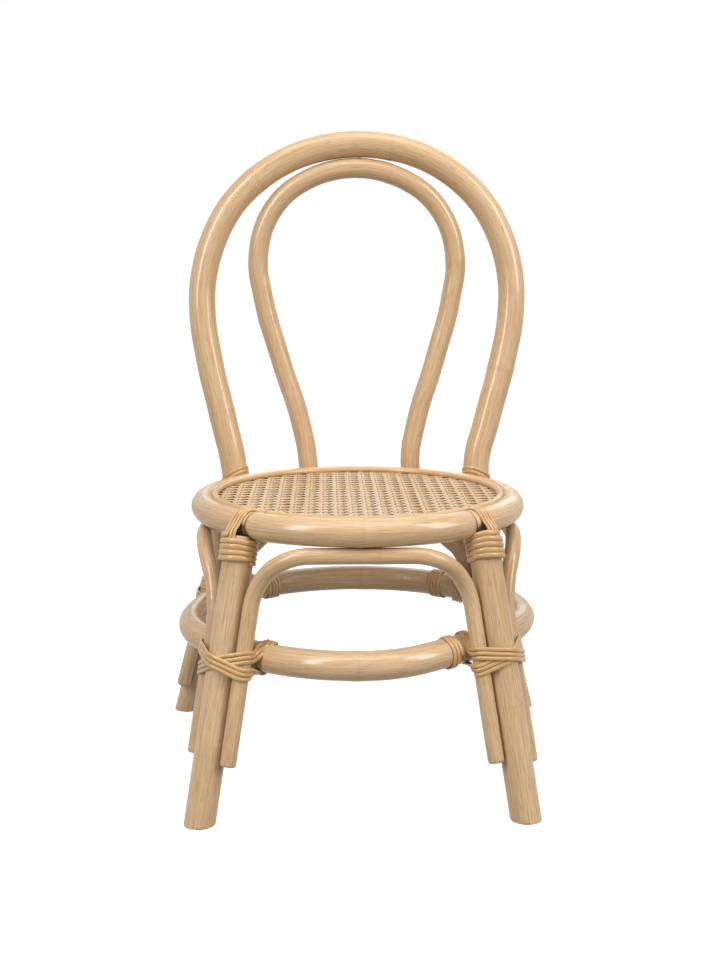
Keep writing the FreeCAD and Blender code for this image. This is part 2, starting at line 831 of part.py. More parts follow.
top_start = V(hoop_top.x, hoop_top.y, inner_top.z - inner_radius + sunk / inner_radius)
top_places = [(top_start, UP)]
parts["hoop_top_screw"], top_holes = set_screws(top_places, top_screw_length)

arch_places = []
for turn in (0, -QUARTER, QUARTER):
    arch_places.append((around(seat_radius, turn, arch_top_height - arch_radius + sunk / arch_radius), UP))
parts["arch_nails"], arch_holes = set_screws(arch_places, arch_nail_length)

stretcher_places = []
for side in (LEFT, RIGHT):
    for joint, way, turn, leg in (
        (front_joint(side), front_way(side), front_turn(side), leg_radius),
        (rear_joint(side), rear_way(side), side * rear_leg_turn, hoop_radius),
    ):
        out = across(way, turn)
        centre = joint - out * (leg + stretcher_tube + seat_gap)
        stretcher_places.append((centre - out * (stretcher_tube - sunk / stretcher_tube), out))
parts["stretcher_screws"], stretcher_holes = set_screws(stretcher_places, stretcher_screw_length)

parts["outer_back_hoop"] = hoop.cut(hoop_holes).cut(top_holes).cut(stretcher_holes)
parts["inner_back_hoop"] = inner_hoop.cut(inner_holes).cut(top_holes)
parts["seat_ring_front"] = seat_front.cut(arch_holes)
parts["seat_ring_rear"] = seat_rear.cut(leg_holes).cut(hoop_holes).cut(inner_holes).cut(arch_holes)
parts["cane_panel"] = cane_panel
parts["spline_ring"] = spline_ring
parts["front_leg_left"] = leg_left.cut(leg_holes).cut(stretcher_holes)
parts["front_leg_right"] = leg_right.cut(leg_holes).cut(stretcher_holes)
parts["stretcher_ring"] = stretcher.cut(stretcher_holes)
parts["arch_front"] = arch_front.cut(arch_holes)
parts["arch_left"] = arch_left.cut(arch_holes)
parts["arch_right"] = arch_right.cut(arch_holes)

os.makedirs("parts", exist_ok=True)
for name, shape in parts.items():
    shape.exportStep("parts/" + name + ".step")
    print(name, "solids", len(shape.Solids), "valid", shape.isValid(), "volume", round(shape.Volume))
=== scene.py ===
"""Looks of a child's rattan bistro chair: lacquered poles, peel ties and a woven cane seat."""

import random
from math import acos, asin, atan, atan2, cos, degrees, exp, hypot, pi, radians, sin, sqrt, tan

import bmesh
import bpy
from mathutils import Matrix, Vector, noise
from mathutils.kdtree import KDTree


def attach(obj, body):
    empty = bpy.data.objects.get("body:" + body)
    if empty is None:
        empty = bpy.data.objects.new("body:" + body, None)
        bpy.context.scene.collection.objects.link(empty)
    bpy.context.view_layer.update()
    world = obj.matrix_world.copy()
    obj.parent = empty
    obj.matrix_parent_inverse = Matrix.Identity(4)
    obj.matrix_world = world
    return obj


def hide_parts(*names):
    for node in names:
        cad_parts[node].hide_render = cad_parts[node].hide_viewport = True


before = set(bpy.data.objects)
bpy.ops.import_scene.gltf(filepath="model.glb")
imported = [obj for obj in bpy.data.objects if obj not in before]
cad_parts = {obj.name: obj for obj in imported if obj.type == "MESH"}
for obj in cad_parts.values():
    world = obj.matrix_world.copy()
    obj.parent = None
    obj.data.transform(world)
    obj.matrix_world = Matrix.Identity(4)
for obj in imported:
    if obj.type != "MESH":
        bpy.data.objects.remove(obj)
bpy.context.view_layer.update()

MM = 0.001
UP = Vector((0, 0, 1))
SCENE = bpy.context.scene
LEFT, RIGHT = -1, 1
SIDES = ((LEFT, "left"), (RIGHT, "right"))
SEAT_GAP = 0.3  # the gap that stands for contact, between poles too

# ---- sizes in millimetres
LEG_R, HOOP_R, INNER_R, SEAT_R, RING_R, ARCH_R = 14.0, 13.8, 10.4, 12.5, 13.0, 7.3
SEAT_RADIUS, SEAT_Z = 147.5, 260.0
FRONT_TURN, FRONT_SKEW, LEG_OUT, FOOT_RHO = 43.8, 0.5, 7.5, 209.5
RING_Z, RING_RADIUS, RING_BULGE, RING_TWIST = 145.6, 159.98, 1.8, 2.8
HOOP_TURN, HOOP_SHIFT, REAR_TURN, REAR_RHO = 133.0, 2.0, 129.3, 239.5
HOOP_RISE, HOOP_HALF, HOOP_BACK, HOOP_SWAY = 352.0, 162.03, 159.24, 6.0
HOOP_RISES = (0.065, 0.187, 0.364, 0.483, 0.597, 0.719, 0.837, 0.919)
HOOP_WIDTHS = (0.797, 0.861, 0.955, 0.999, 1.0, 0.935, 0.789, 0.592)
FLANK_RISE, KNEE_DROP, KNEE_OUT, KNEE_TURN = 28.0, 0.52, 0.35, 0.67
INNER_TURN, INNER_HALF, INNER_SEAT_SHIFT = 160.8, 104.83, 6.5
INNER_SHIFT, INNER_TOP_SHIFT, SWEEP_SHIFT = 5.6, 2.5, 3.5
INNER_RISES = (0.070, 0.185, 0.382, 0.578, 0.708, 0.836, 0.915, 0.968)
INNER_WIDTHS = (0.535, 0.602, 0.787, 0.950, 1.0, 0.901, 0.717, 0.457)
SWEEP = ((0.317, 0.165, 0.125), (0.633, 0.565, 0.46))
INNER_TUCK, INNER_END = 8.0, 80.0
ARCH_FLAT, ARCH_DROP, ARCH_TUCK, ARCH_IN_TUCK = 88.0, 50.0, 8.0, 17.0
ARCH_FRONT_END, SIDE_FRONT_END, SIDE_REAR_END = 55.0, {LEFT: 57.0, RIGHT: 45.0}, {LEFT: 38.0, RIGHT: 70.0}
SIDE_HIP_DROP, SIDE_ARCH_IN = 24.0, 3.5
FLOOR_OVERRUN, POLE_STEP, PEEL_STEP = 10, 2.5, 1.6


# A turn is in degrees about the seat's upright axis: 0 at the front, 90 at the right.
def radial(turn):
    a = radians(turn)
    return Vector((sin(a), -cos(a), 0))


def sideways(turn):
    a = radians(turn)
    return Vector((cos(a), sin(a), 0))


def around(radius, turn, height):
    return radial(turn) * radius + UP * height


def across(way, turn):
    out = radial(turn)
    return (out - way * out.dot(way)).normalized()


# ---- smooth lines of tangent arcs
def easy_ways(points):
    steps = [b - a for a, b in zip(points, points[1:])]
    ways = [(a * (b.length / a.length) + b * (a.length / b.length)).normalized() for a, b in zip(steps, steps[1:])]
    first, last = steps[0].normalized(), steps[-1].normalized()
    ways.insert(0, (first * (2 * first.dot(ways[0])) - ways[0]).normalized())
    ways.append((last * (2 * last.dot(ways[-1])) - ways[-1]).normalized())
    return ways


def biarc(p, pw, q, qw, count):
    chord = q - p
    bend = 2 * (1 - pw.dot(qw))
    along = chord.dot(pw + qw)
    if bend < 1e-9:
        reach = chord.dot(chord) / (2 * along)
    else:
        reach = (sqrt(along ** 2 + bend * chord.dot(chord)) - along) / bend
    c1, c2 = p + pw * reach, q - qw * reach
    joint = (c1 + c2) * 0.5
    line = []
    for a, c, b in ((p, c1, joint), (joint, c2, q)):
        w = min((b - a).length / 2 / max((c - a).length, 1e-9), 1.0)
        for i in range(count):
            t = i / count
            d = (1 - t) ** 2 + 2 * w * t * (1 - t) + t * t
            line.append((a * (1 - t) ** 2 + c * (2 * w * t * (1 - t)) + b * (t * t)) / d)
    return line


def along_biarcs(points, ways, outs, step=None, count=6):
    """A line of tangent arcs through the points, with their outer sides carried along."""
    line, line_outs = [], []
    for i in range(len(points) - 1):
        if step:
            count = max(3, int((points[i + 1] - points[i]).length / step))
        part = biarc(points[i], ways[i], points[i + 1], ways[i + 1], count)
        line += part
        line_outs += [outs[i].lerp(outs[i + 1], j / len(part)) for j in range(len(part))]
    return line + [points[-1]], line_outs + [outs[-1]]


def line_through(points, ways):
    return resample(along_biarcs(points, ways, ways, POLE_STEP)[0])


def resample(dense):
    total = sum((b - a).length for a, b in zip(dense, dense[1:]))
    count = max(2, round(total / POLE_STEP))
    spacing = total / count
    out = [dense[0].copy()]
    travelled, target = 0.0, spacing
    for a, b in zip(dense, dense[1:]):
        d = (b - a).length
        while d > 0 and travelled + d >= target - 1e-9 and len(out) < count:
            out.append(a.lerp(b, (target - travelled) / d))
            target += spacing
        travelled += d
    out.append(dense[-1].copy())
    return out


# ---- lines of the legs
LEG_TOP_Z = SEAT_Z - SEAT_R
LEG_SLOPE = (FOOT_RHO - SEAT_RADIUS - LEG_OUT) / LEG_TOP_Z
LEG_LEAN = atan(LEG_SLOPE)


def front_turn(side):
    return side * FRONT_TURN + FRONT_SKEW


def front_axis(side, z):
    return around(FOOT_RHO - LEG_SLOPE * z, front_turn(side), z)


def front_way(side):
    return (front_axis(side, SEAT_Z) - front_axis(side, 0)).normalized()


def ring_rho(side):
    reach = (LEG_R + RING_R + SEAT_GAP) / cos(LEG_LEAN)
    return FOOT_RHO - LEG_SLOPE * (RING_Z + side * RING_TWIST) - reach


def front_joint(side):
    centre = around(ring_rho(side), front_turn(side), RING_Z + side * RING_TWIST)
    return centre + across(front_way(side), front_turn(side)) * (LEG_R + RING_R + SEAT_GAP)


REAR_SPACING = HOOP_R + RING_R + SEAT_GAP
REAR_REACH = hypot(REAR_RHO - RING_RADIUS, RING_Z)
REAR_LEAN = atan2(REAR_RHO - RING_RADIUS, RING_Z) - asin(REAR_SPACING / REAR_REACH)
REAR_TOUCH = sqrt(REAR_REACH ** 2 - REAR_SPACING ** 2)


def rear_way(side):
    return (radial(side * REAR_TURN) * -sin(REAR_LEAN) + UP * cos(REAR_LEAN)).normalized()


def rear_axis(side, z):
    return around(REAR_RHO, side * REAR_TURN, 0) + rear_way(side) * (z / cos(REAR_LEAN))


def rear_joint(side):
    return around(REAR_RHO, side * REAR_TURN, 0) + rear_way(side) * REAR_TOUCH


def leg_facts(side, front):
    """Where a leg meets the stretcher ring, its way, its turn and its radius."""
    if front:
        return front_joint(side), front_way(side), front_turn(side), LEG_R
    return rear_joint(side), rear_way(side), side * REAR_TURN, HOOP_R


def beside(base, way, turn, spacing, tuck, direction):
    out = across(way, turn)
    flank = way.cross(out).normalized() * direction
    a = radians(tuck)
    return base + (flank * cos(a) - out * sin(a)) * spacing


# ---- pole lines
def hoop_line(side):
    contact_radius = SEAT_RADIUS + SEAT_R + HOOP_R + SEAT_GAP
    contact = around(contact_radius, side * HOOP_TURN - degrees(HOOP_SHIFT / contact_radius), SEAT_Z)
    touch = rear_axis(side, RING_Z + FLANK_RISE)
    touch_radius = hypot(touch.x, touch.y)
    knee = around(contact_radius + (touch_radius - contact_radius) * KNEE_OUT,
                  side * (HOOP_TURN + (REAR_TURN - HOOP_TURN) * KNEE_TURN),
                  SEAT_Z + (touch.z - SEAT_Z) * KNEE_DROP)
    points = [rear_axis(side, 0) - rear_way(side) * FLOOR_OVERRUN, touch, knee, contact]
    for rise, width in zip(HOOP_RISES, HOOP_WIDTHS):
        points.append(Vector((side * HOOP_HALF * width + HOOP_SWAY * rise,
                              contact.y + (HOOP_BACK - contact.y) * rise, SEAT_Z + HOOP_RISE * rise)))
    return points


def fixed_line(points):
    ways = easy_ways(points)
    ways[0] = ways[1] = rear_way(LEFT)
    ways[-1] = ways[-2] = rear_way(RIGHT) * -1
    return line_through(points, ways)


HOOP_TOP = Vector((HOOP_SWAY, HOOP_BACK, SEAT_Z + HOOP_RISE))
HOOP_SIDES = {side: hoop_line(side) for side in (LEFT, RIGHT)}
HOOP_POINTS = HOOP_SIDES[LEFT] + [HOOP_TOP] + HOOP_SIDES[RIGHT][::-1]
INNER_TOP = Vector((INNER_TOP_SHIFT, HOOP_BACK, HOOP_TOP.z - HOOP_R - INNER_R - SEAT_GAP))
INNER_SPACING = HOOP_R + INNER_R + SEAT_GAP
ARCH_REAR_SPACING = HOOP_R + ARCH_R + SEAT_GAP
ARCH_FRONT_SPACING = LEG_R + ARCH_R + SEAT_GAP


def inner_line(side):
    rho = SEAT_RADIUS + SEAT_R + INNER_R + SEAT_GAP
    contact = around(rho, side * INNER_TURN - degrees(INNER_SEAT_SHIFT / rho), SEAT_Z)
    end, flank = [beside(rear_axis(side, z), rear_way(side), side * REAR_TURN, INNER_SPACING, INNER_TUCK, side)
                  for z in (INNER_END, RING_Z + FLANK_RISE)]
    knees = [Vector((contact.x + (flank.x - contact.x) * out - SWEEP_SHIFT,
                     contact.y + (flank.y - contact.y) * back,
                     contact.z + (flank.z - contact.z) * drop)) for drop, out, back in SWEEP]
    points = [end, flank] + knees[::-1] + [contact]
    for rise, width in zip(INNER_RISES, INNER_WIDTHS):
        shift = INNER_SHIFT + (INNER_TOP_SHIFT - INNER_SHIFT) * rise
        points.append(Vector((side * INNER_HALF * width + shift, contact.y + (INNER_TOP.y - contact.y) * rise,
                              SEAT_Z + (INNER_TOP.z - SEAT_Z) * rise)))
    return points


INNER_SIDES = {side: inner_line(side) for side in (LEFT, RIGHT)}
INNER_POINTS = INNER_SIDES[LEFT] + [INNER_TOP] + INNER_SIDES[RIGHT][::-1]

BUTT = degrees(SEAT_GAP / RING_RADIUS)
RING_STATIONS = ((-REAR_TURN + BUTT, RING_RADIUS, 0), (-90, RING_RADIUS + RING_BULGE, -1),
                 (front_turn(LEFT), ring_rho(LEFT), -1), (0, RING_RADIUS, 0),
                 (front_turn(RIGHT), ring_rho(RIGHT), 1), (90, RING_RADIUS, 1), (REAR_TURN, RING_RADIUS, 0),
                 (180, RING_RADIUS, 0), (360 - REAR_TURN - BUTT, RING_RADIUS, 0))
RING_POINTS = [around(rho, turn, RING_Z + twist * RING_TWIST) for turn, rho, twist in RING_STATIONS]
RING_WAYS = [sideways(turn) for turn, _, _ in RING_STATIONS]

ARCH_Z = SEAT_Z - SEAT_R - SEAT_GAP - ARCH_R
ARCH_HIP = ARCH_Z - ARCH_DROP
SIDE_HIP = ARCH_HIP - SIDE_HIP_DROP


def front_foot(side, end, hip, direction, tuck):
    """An arch's end and hip beside a front leg, and its way up."""
    way = front_way(side)
    end, hip = [beside(front_axis(side, z), way, front_turn(side), ARCH_FRONT_SPACING, tuck, direction)
                for z in (end, hip)]
    return end, hip, way


def rear_foot(side):
    way = rear_way(side)
    end, hip = [beside(rear_axis(side, z), way, side * REAR_TURN, ARCH_REAR_SPACING, ARCH_TUCK, -side)
                for z in (SIDE_REAR_END[side], RING_Z + FLANK_RISE)]
    return end, hip, way


def arch_line(first, turn, last):
    """An arch up from one foot, flat under the seat ring at this turn, and down to the other foot."""
    (a_end, a_hip, a_way), (b_end, b_hip, b_way) = first, last
    middle, flat = around(SEAT_RADIUS - (SIDE_ARCH_IN if turn else 0.0), turn, ARCH_Z), sideways(turn)
    points = [a_end, a_hip, middle - flat * (ARCH_FLAT / 2), middle + flat * (ARCH_FLAT / 2), b_hip, b_end]
    return line_through(points, [a_way, a_way, flat, flat, b_way * -1, b_way * -1])


def side_arch_line(side):
    front, rear = front_foot(side, SIDE_FRONT_END[side], SIDE_HIP, side, ARCH_TUCK), rear_foot(side)
    return arch_line(front, 90, rear) if side == RIGHT else arch_line(rear, -90, front)


# ---- mesh making
def link_object(name, data):
    obj = bpy.data.objects.new(name, data)
    SCENE.collection.objects.link(obj)
    return obj


def new_object(name, points, faces, *layers):
    """A smooth mesh of points, each with its place in millimetres and its value for each layer."""
    places, *columns = zip(*points)
    mesh = bpy.data.meshes.new(name)
    mesh.from_pydata([place * MM for place in places], [], faces)
    for layer, values in zip(layers, columns):
        if isinstance(values[0], float):
            mesh.attributes.new(layer, "FLOAT", "POINT").data.foreach_set("value", values)
        else:
            flat = [c for v in values for c in v]
            mesh.attributes.new(layer, "FLOAT_VECTOR", "POINT").data.foreach_set("vector", flat)
    mesh.polygons.foreach_set("use_smooth", [True] * len(mesh.polygons))
    mesh.update()
    return link_object(name, mesh)


def tube_faces(rows, count, base=0, flip=False):
    """Quads between neighbouring rows of points, each row a closed loop."""
    faces = []
    for j in range(rows - 1):
        for k in range(count):
            a, b = base + j * count + k, base + j * count + (k + 1) % count
            faces.append((a, a + count, b + count, b) if flip else (a, b, b + count, a + count))
    return faces


def frames_along(line):
    """The line's tangents, and flanks square to them that don't twist."""
    last = len(line) - 1
    tangents = [(line[min(i + 1, last)] - line[max(i - 1, 0)]).normalized() for i in range(last + 1)]
    flank = tangents[0].orthogonal().normalized()
    flanks = []
    for t in tangents:
        flank = (flank - t * flank.dot(t)).normalized()
        flanks.append(flank)
    return tangents, flanks


def arc_lengths(line):
    s = [0.0]
    for a, b in zip(line, line[1:]):
        s.append(s[-1] + (b - a).length)
    return s


def knots_for(length, spots, seed, spacing):
    rng = random.Random(seed)
    knots = list(spots)
    s = rng.uniform(0.3, 0.8) * spacing
    while s < length - 15:
        if all(abs(s - k) > 0.45 * spacing for k in knots):
            knots.append(s)
        s += spacing * rng.uniform(0.8, 1.25)
    return knots


def nearest_s(line, point):
    s = arc_lengths(line)
    return s[min(range(len(line)), key=lambda i: (line[i] - point).length)]


CUT_SHARES = (0.33, 0.66, 1.0)
# CONTACT_SHADE_FADE is how fast the painted seam shade fades away from a neighbouring pole, in millimetres.
KNOT_REACH, GROOVE_AT, MARK_AT, GRAIN_SHIFT, CONTACT_SHADE_FADE = 6.0, 1.6, 1.4, 1.37, 0.75
MADE = []  # each pole's object, the name it goes by, its line and its radius


def knot_form(distances, ridge, groove, groove_width, mark_width):
    """The swelling and the dark mark at these distances along the pole from its knots."""
    swell = mark = 0.0
    for d in distances:
        swell += ridge * exp(-(d / KNOT_REACH) ** 2) - groove * exp(-((d - GROOVE_AT) / groove_width) ** 2)
        mark = max(mark, exp(-((d - MARK_AT) / mark_width) ** 2))
    return swell, mark


def unevenness(angle, s, offset):
    return noise.noise(Vector((cos(angle) * 0.6 + offset, sin(angle) * 0.6, s / 45.0))) * 0.012


def pole(name, line, radius, seed, sides, spacing, spots=(), floor=False):
    """A rattan pole: a slightly uneven round bar with swollen knots and softly cut ends."""
    tangents, flanks = frames_along(line)
    lengths = arc_lengths(line)
    knots = knots_for(lengths[-1], [nearest_s(line, spot) for spot in spots], seed, spacing)
    rng = random.Random(seed * 7 + 1)
    lean = {k: (rng.uniform(0, 6.28), rng.uniform(0.5, 1.6)) for k in knots}
    offset = seed * GRAIN_SHIFT
    angles = [2 * pi * k / sides for k in range(sides)]
    bevel = min(1.1, radius * 0.12)
    cut, step, last = radius - bevel, bevel * 0.35, len(line) - 1
    # a row has its place on the line, its push along it, its radius, and one on the cut face
    rows = [(0, 0.0, cut * share, 1.0) for share in CUT_SHARES] + [(0, step, radius - step, 0.0)]
    rows += [(i, 0.0, radius, 0.0) for i in range(1, last)] + [(last, -step, radius - step, 0.0)]
    rows += [(last, 0.0, cut * share, 1.0) for share in reversed(CUT_SHARES)]
    points = []
    for i, push, r, end in rows:
        t, u, s = tangents[i], flanks[i], lengths[i]
        v = t.cross(u)
        for a in angles:
            c, n = cos(a), sin(a)
            distances = [s - knot - amount * cos(a - tilt) for knot, (tilt, amount) in lean.items()]
            swell, mark = knot_form(distances, 0.34, 0.14, 0.9, 0.8)
            wave = unevenness(a, s, offset) + noise.noise(Vector((offset, 3.0, s / 130.0))) * 0.008
            rr = r if end else r * (1 + wave) + swell * (radius / LEG_R)
            place = line[i] + t * push + u * (c * rr) + v * (n * rr)
            points.append((place, (c * rr * MM, n * rr * MM, s * MM + offset), mark, end))
    first, last = range(sides), range(len(points) - sides, len(points))
    faces = tube_faces(len(rows), sides) + [tuple(reversed(first)), tuple(last)]
    obj = new_object(name, points, faces, "grain", "knot", "cap")
    if floor:
        bm = bmesh.new()
        bm.from_mesh(obj.data)
        bmesh.ops.bisect_plane(bm, geom=bm.verts[:] + bm.edges[:] + bm.faces[:], plane_co=(0, 0, 0),
                               plane_no=(0, 0, -1), clear_outer=True)
        bmesh.ops.holes_fill(bm, edges=[e for e in bm.edges if e.is_boundary], sides=0)
        bm.to_mesh(obj.data)
        bm.free()
    MADE.append((obj, name, line, radius))
    return obj


def paint_contact_shade():
    """Marks how near each pole's surface is to another pole, for the painted shade along their seam."""
    trees = {}
    for _, group, line, radius in MADE:
        if group not in trees:
            tree = KDTree(len(line))
            for i, point in enumerate(line):
                tree.insert(point, i)
            tree.balance()
            trees[group] = (tree, radius)
    for obj, group, _, _ in MADE:
        others = [pair for other, pair in trees.items() if other != group]
        values = []
        for vertex in obj.data.vertices:
            gap = min(tree.find(vertex.co / MM)[2] - radius for tree, radius in others)
            values.append(exp(-max(gap, 0.0) / CONTACT_SHADE_FADE))
        # The contact layer holds the strength of the painted shade in each seam.
        obj.data.attributes.new("contact", "FLOAT", "POINT").data.foreach_set("value", values)


PEEL_SECTION = ((-0.42, 0.0), (-0.5, 0.22), (-0.49, 0.48), (-0.4, 0.76), (-0.2, 0.95), (0.0, 1.0),
                (0.2, 0.95), (0.4, 0.76), (0.49, 0.48), (0.5, 0.22), (0.42, 0.0), (0.0, -0.03))


def ribbon(name, line, outs, width, height, seed, section=PEEL_SECTION, taper=6.0):
    """A strip of peel laid along a line, flat below, rounded above and narrower at its ends."""
    tangents, _ = frames_along(line)
    lengths = arc_lengths(line)
    tone = random.Random(seed).uniform(-1, 1)
    points = []
    for i, point in enumerate(line):
        t, s = tangents[i], lengths[i]
        out = (outs[i] - t * outs[i].dot(t)).normalized()
        flank = t.cross(out)
        end = 0.72 + 0.28 * min(1, min(s, lengths[-1] - s) / taper)
        w = width * end * (1 + 0.06 * noise.noise(Vector((seed * 0.7, s / 14.0, 0))))
        shift = 0.12 * noise.noise(Vector((s / 11.0, seed * 1.3, 2.0)))
        for x, z in section:
            place = point + flank * (x * w + shift) + out * (z * height)
            points.append((place, (x * width * MM, z * height * MM, s * MM + seed * 0.71), tone))
    count = len(section)
    faces = tube_faces(len(line), count, flip=True)
    faces += [tuple(range(count)), tuple(range(len(points) - count, len(points)))[::-1]]
    return new_object(name, points, faces, "grain", "tint")


def join(name, objects):
    bpy.ops.object.select_all(action="DESELECT")
    for obj in objects:
        obj.select_set(True)
    bpy.context.view_layer.objects.active = objects[0]
    bpy.ops.object.join()
    objects[0].name = name
    return objects[0]


# ---- materials
WHITE = (1.0, 1.0, 1.0, 1)


def nodes_of(name):
    material = bpy.data.materials.new(name)
    material.use_nodes = True
    tree = material.node_tree
    return material, tree, tree.nodes["Principled BSDF"]


def fill(tree, node, inputs):
    """Sets each input of a node to its value, or links it to its socket."""
    for key, value in inputs.items():
        if isinstance(value, bpy.types.NodeSocket):
            tree.links.new(value, node.inputs[key])
        else:
            node.inputs[key].default_value = value


def add(tree, kind, inputs=None, **settings):
    node = tree.nodes.new("ShaderNode" + kind)
    for key, value in settings.items():
        setattr(node, key, value)
    fill(tree, node, inputs or {})
    return node


def attribute(tree, name, output="Fac"):
    return add(tree, "Attribute", attribute_name=name).outputs[output]


def grain_coordinates(tree, scale):
    grain = attribute(tree, "grain", "Vector")
    return add(tree, "Mapping", {"Vector": grain, "Scale": scale}).outputs["Vector"]


def noise_tex(tree, vector, detail, roughness, scale=1.0):
    return add(tree, "TexNoise", {"Vector": vector, "Scale": scale, "Detail": detail,
                                            "Roughness": roughness}).outputs["Fac"]


def grain_noise(tree, scale, detail, roughness):
    return noise_tex(tree, grain_coordinates(tree, scale), detail, roughness)


def ramp(tree, value, *stops):
    node = add(tree, "ValToRGB", {"Fac": value})
    elements = node.color_ramp.elements
    elements[0].position, elements[0].color = stops[0]
    elements[1].position, elements[1].color = stops[-1]
    for position, colour in stops[1:-1]:
        elements.new(position).color = colour
    return node.outputs["Color"]


def grey(value):
    return (value, value, value, 1)


def mix(tree, factor, a, b, mode="MIX"):
    return add(tree, "Mix", {0: factor, 6: a, 7: b}, data_type="RGBA", blend_type=mode).outputs[2]


def maths(tree, operation, *values):
    return add(tree, "Math", dict(enumerate(values)), operation=operation).outputs[0]


def darken(tree, base, share, value, low, colour, high):
    """The base, darkened by the colour where the value is low."""
    return mix(tree, share, base, ramp(tree, value, (low, colour), (high, WHITE)), "MULTIPLY")


def background_rays(tree):
    """One for camera rays, and part of it for reflections and refractions, so that they show the background too."""
    rays = add(tree, "LightPath")
    bounced = maths(tree, "MAXIMUM", rays.outputs["Is Glossy Ray"], rays.outputs["Is Transmission Ray"])
    return maths(tree, "MAXIMUM", rays.outputs["Is Camera Ray"], maths(tree, "MULTIPLY", bounced, 0.5))


def surface(tree, shader, base, wear, rough, height, strength, depth, constants):
    """Gives a shader its colour, its roughness by wear, its relief and its constants."""
    bump = add(tree, "Bump", {"Strength": strength, "Distance": depth, "Height": height})
    roughness = ramp(tree, wear, (0.3, grey(rough[0])), (0.7, grey(rough[1])))
    fill(tree, shader, {"Base Color": base, "Roughness": roughness, "Normal": bump.outputs["Normal"], **constants})


def pole_material():
    """Lacquered rattan, streaked and dashed along its grain, dark in knots, with painted shade in its seams, and
    with pores on cut ends.
    """
    material, tree, shader = nodes_of("rattan_pole")
    streak = grain_noise(tree, (800, 800, 16), 4.0, 0.6)
    fine = grain_noise(tree, (1900, 1900, 40), 3.0, 0.6)
    dash = grain_noise(tree, (1400, 1400, 75), 1.0, 0.4)
    cloud = grain_noise(tree, (28, 28, 6), 2.0, 0.5)
    base = ramp(tree, streak, (0.30, (0.600, 0.402, 0.226, 1)), (0.50, (0.690, 0.493, 0.298, 1)),
                (0.72, (0.770, 0.582, 0.380, 1)))
    base = darken(tree, base, 0.75, cloud, 0.30, (0.86, 0.80, 0.72, 1), 0.70)
    base = darken(tree, base, 0.7, fine, 0.34, (0.80, 0.71, 0.60, 1), 0.60)
    dashes = ramp(tree, dash, (0.605, grey(0)), (0.685, grey(1)))
    # Dashes and knots are the rattan's own marks; the contact mask paints shade into the seams between poles.
    for mark_and_shade_mask, share, mark_and_shade_colour in ((dashes, 0.42, (0.30, 0.165, 0.07, 1)),
                               (attribute(tree, "knot"), 0.20, (0.34, 0.19, 0.085, 1)),
                               (attribute(tree, "contact"), 0.9, (0.10, 0.047, 0.018, 1))):
        base = mix(tree, maths(tree, "MULTIPLY", mark_and_shade_mask, share), base, mark_and_shade_colour)
    pores = add(tree, "TexVoronoi", {"Vector": grain_coordinates(tree, (1100, 1100, 0)), "Scale": 1.0})
    cut = ramp(tree, pores.outputs["Distance"], (0.18, (0.20, 0.11, 0.05, 1)), (0.42, (0.56, 0.38, 0.20, 1)))
    height = maths(tree, "ADD", maths(tree, "MULTIPLY", streak, 0.6), maths(tree, "MULTIPLY", fine, 0.5))
    height = maths(tree, "SUBTRACT", height, maths(tree, "MULTIPLY", dashes, 0.25))
    base = mix(tree, attribute(tree, "cap"), base, cut)
    surface(tree, shader, base, fine, (0.44, 0.32), height, 0.13, 0.0004,
            {"Coat Weight": 0.85, "Coat Roughness": 0.19, "Coat IOR": 1.5, "Specular IOR Level": 0.12})
    return material


def peel_material(name, low, middle, high, rough, sides=False):
    """Peel or cane, streaked along its grain, each strand in its own tone, with painted shade on the lower sides of
    each strand if asked.
    """
    material, tree, shader = nodes_of(name)
    streak = grain_noise(tree, (1900, 900, 26), 3.0, 0.6)
    fine = grain_noise(tree, (4200, 1800, 60), 2.0, 0.5)
    cloud = grain_noise(tree, (60, 60, 14), 2.0, 0.5)
    base = ramp(tree, streak, (0.30, low), (0.50, middle), (0.72, high))
    base = darken(tree, base, 0.7, cloud, 0.30, (0.84, 0.78, 0.70, 1), 0.72)
    tint = maths(tree, "MULTIPLY_ADD", attribute(tree, "tint"), 0.5, 0.5)
    base = darken(tree, base, 0.8, tint, 0.0, (0.84, 0.80, 0.74, 1), 1.0)
    # Painted shade: the lower part of each strand's section is darkened, so the holes between strands read dark.
    if sides:
        parts = add(tree, "SeparateXYZ", {"Vector": attribute(tree, "grain", "Vector")})
        depth = maths(tree, "MULTIPLY", parts.outputs["Y"], 1 / MM)
        base = darken(tree, base, 1.0, maths(tree, "ADD", depth, 0.5), 0.30, (0.34, 0.21, 0.11, 1), 0.72)
    height = maths(tree, "ADD", streak, maths(tree, "MULTIPLY", fine, 0.5))
    surface(tree, shader, base, fine, rough, height, 0.3, 0.0003,
            {"Coat Weight": 0.6, "Coat Roughness": 0.14, "Specular IOR Level": 0.2})
    return material


def steel_material():
    material, tree, shader = nodes_of("steel")
    scratch = noise_tex(tree, add(tree, "TexCoord").outputs["Object"], 4.0, 0.6, 900.0)
    tone = ramp(tree, scratch, (0.3, (0.30, 0.29, 0.27, 1)), (0.7, (0.55, 0.53, 0.50, 1)))
    surface(tree, shader, tone, scratch, (0.30, 0.50), scratch, 0.2, 0.0001, {"Metallic": 1.0})
    return material


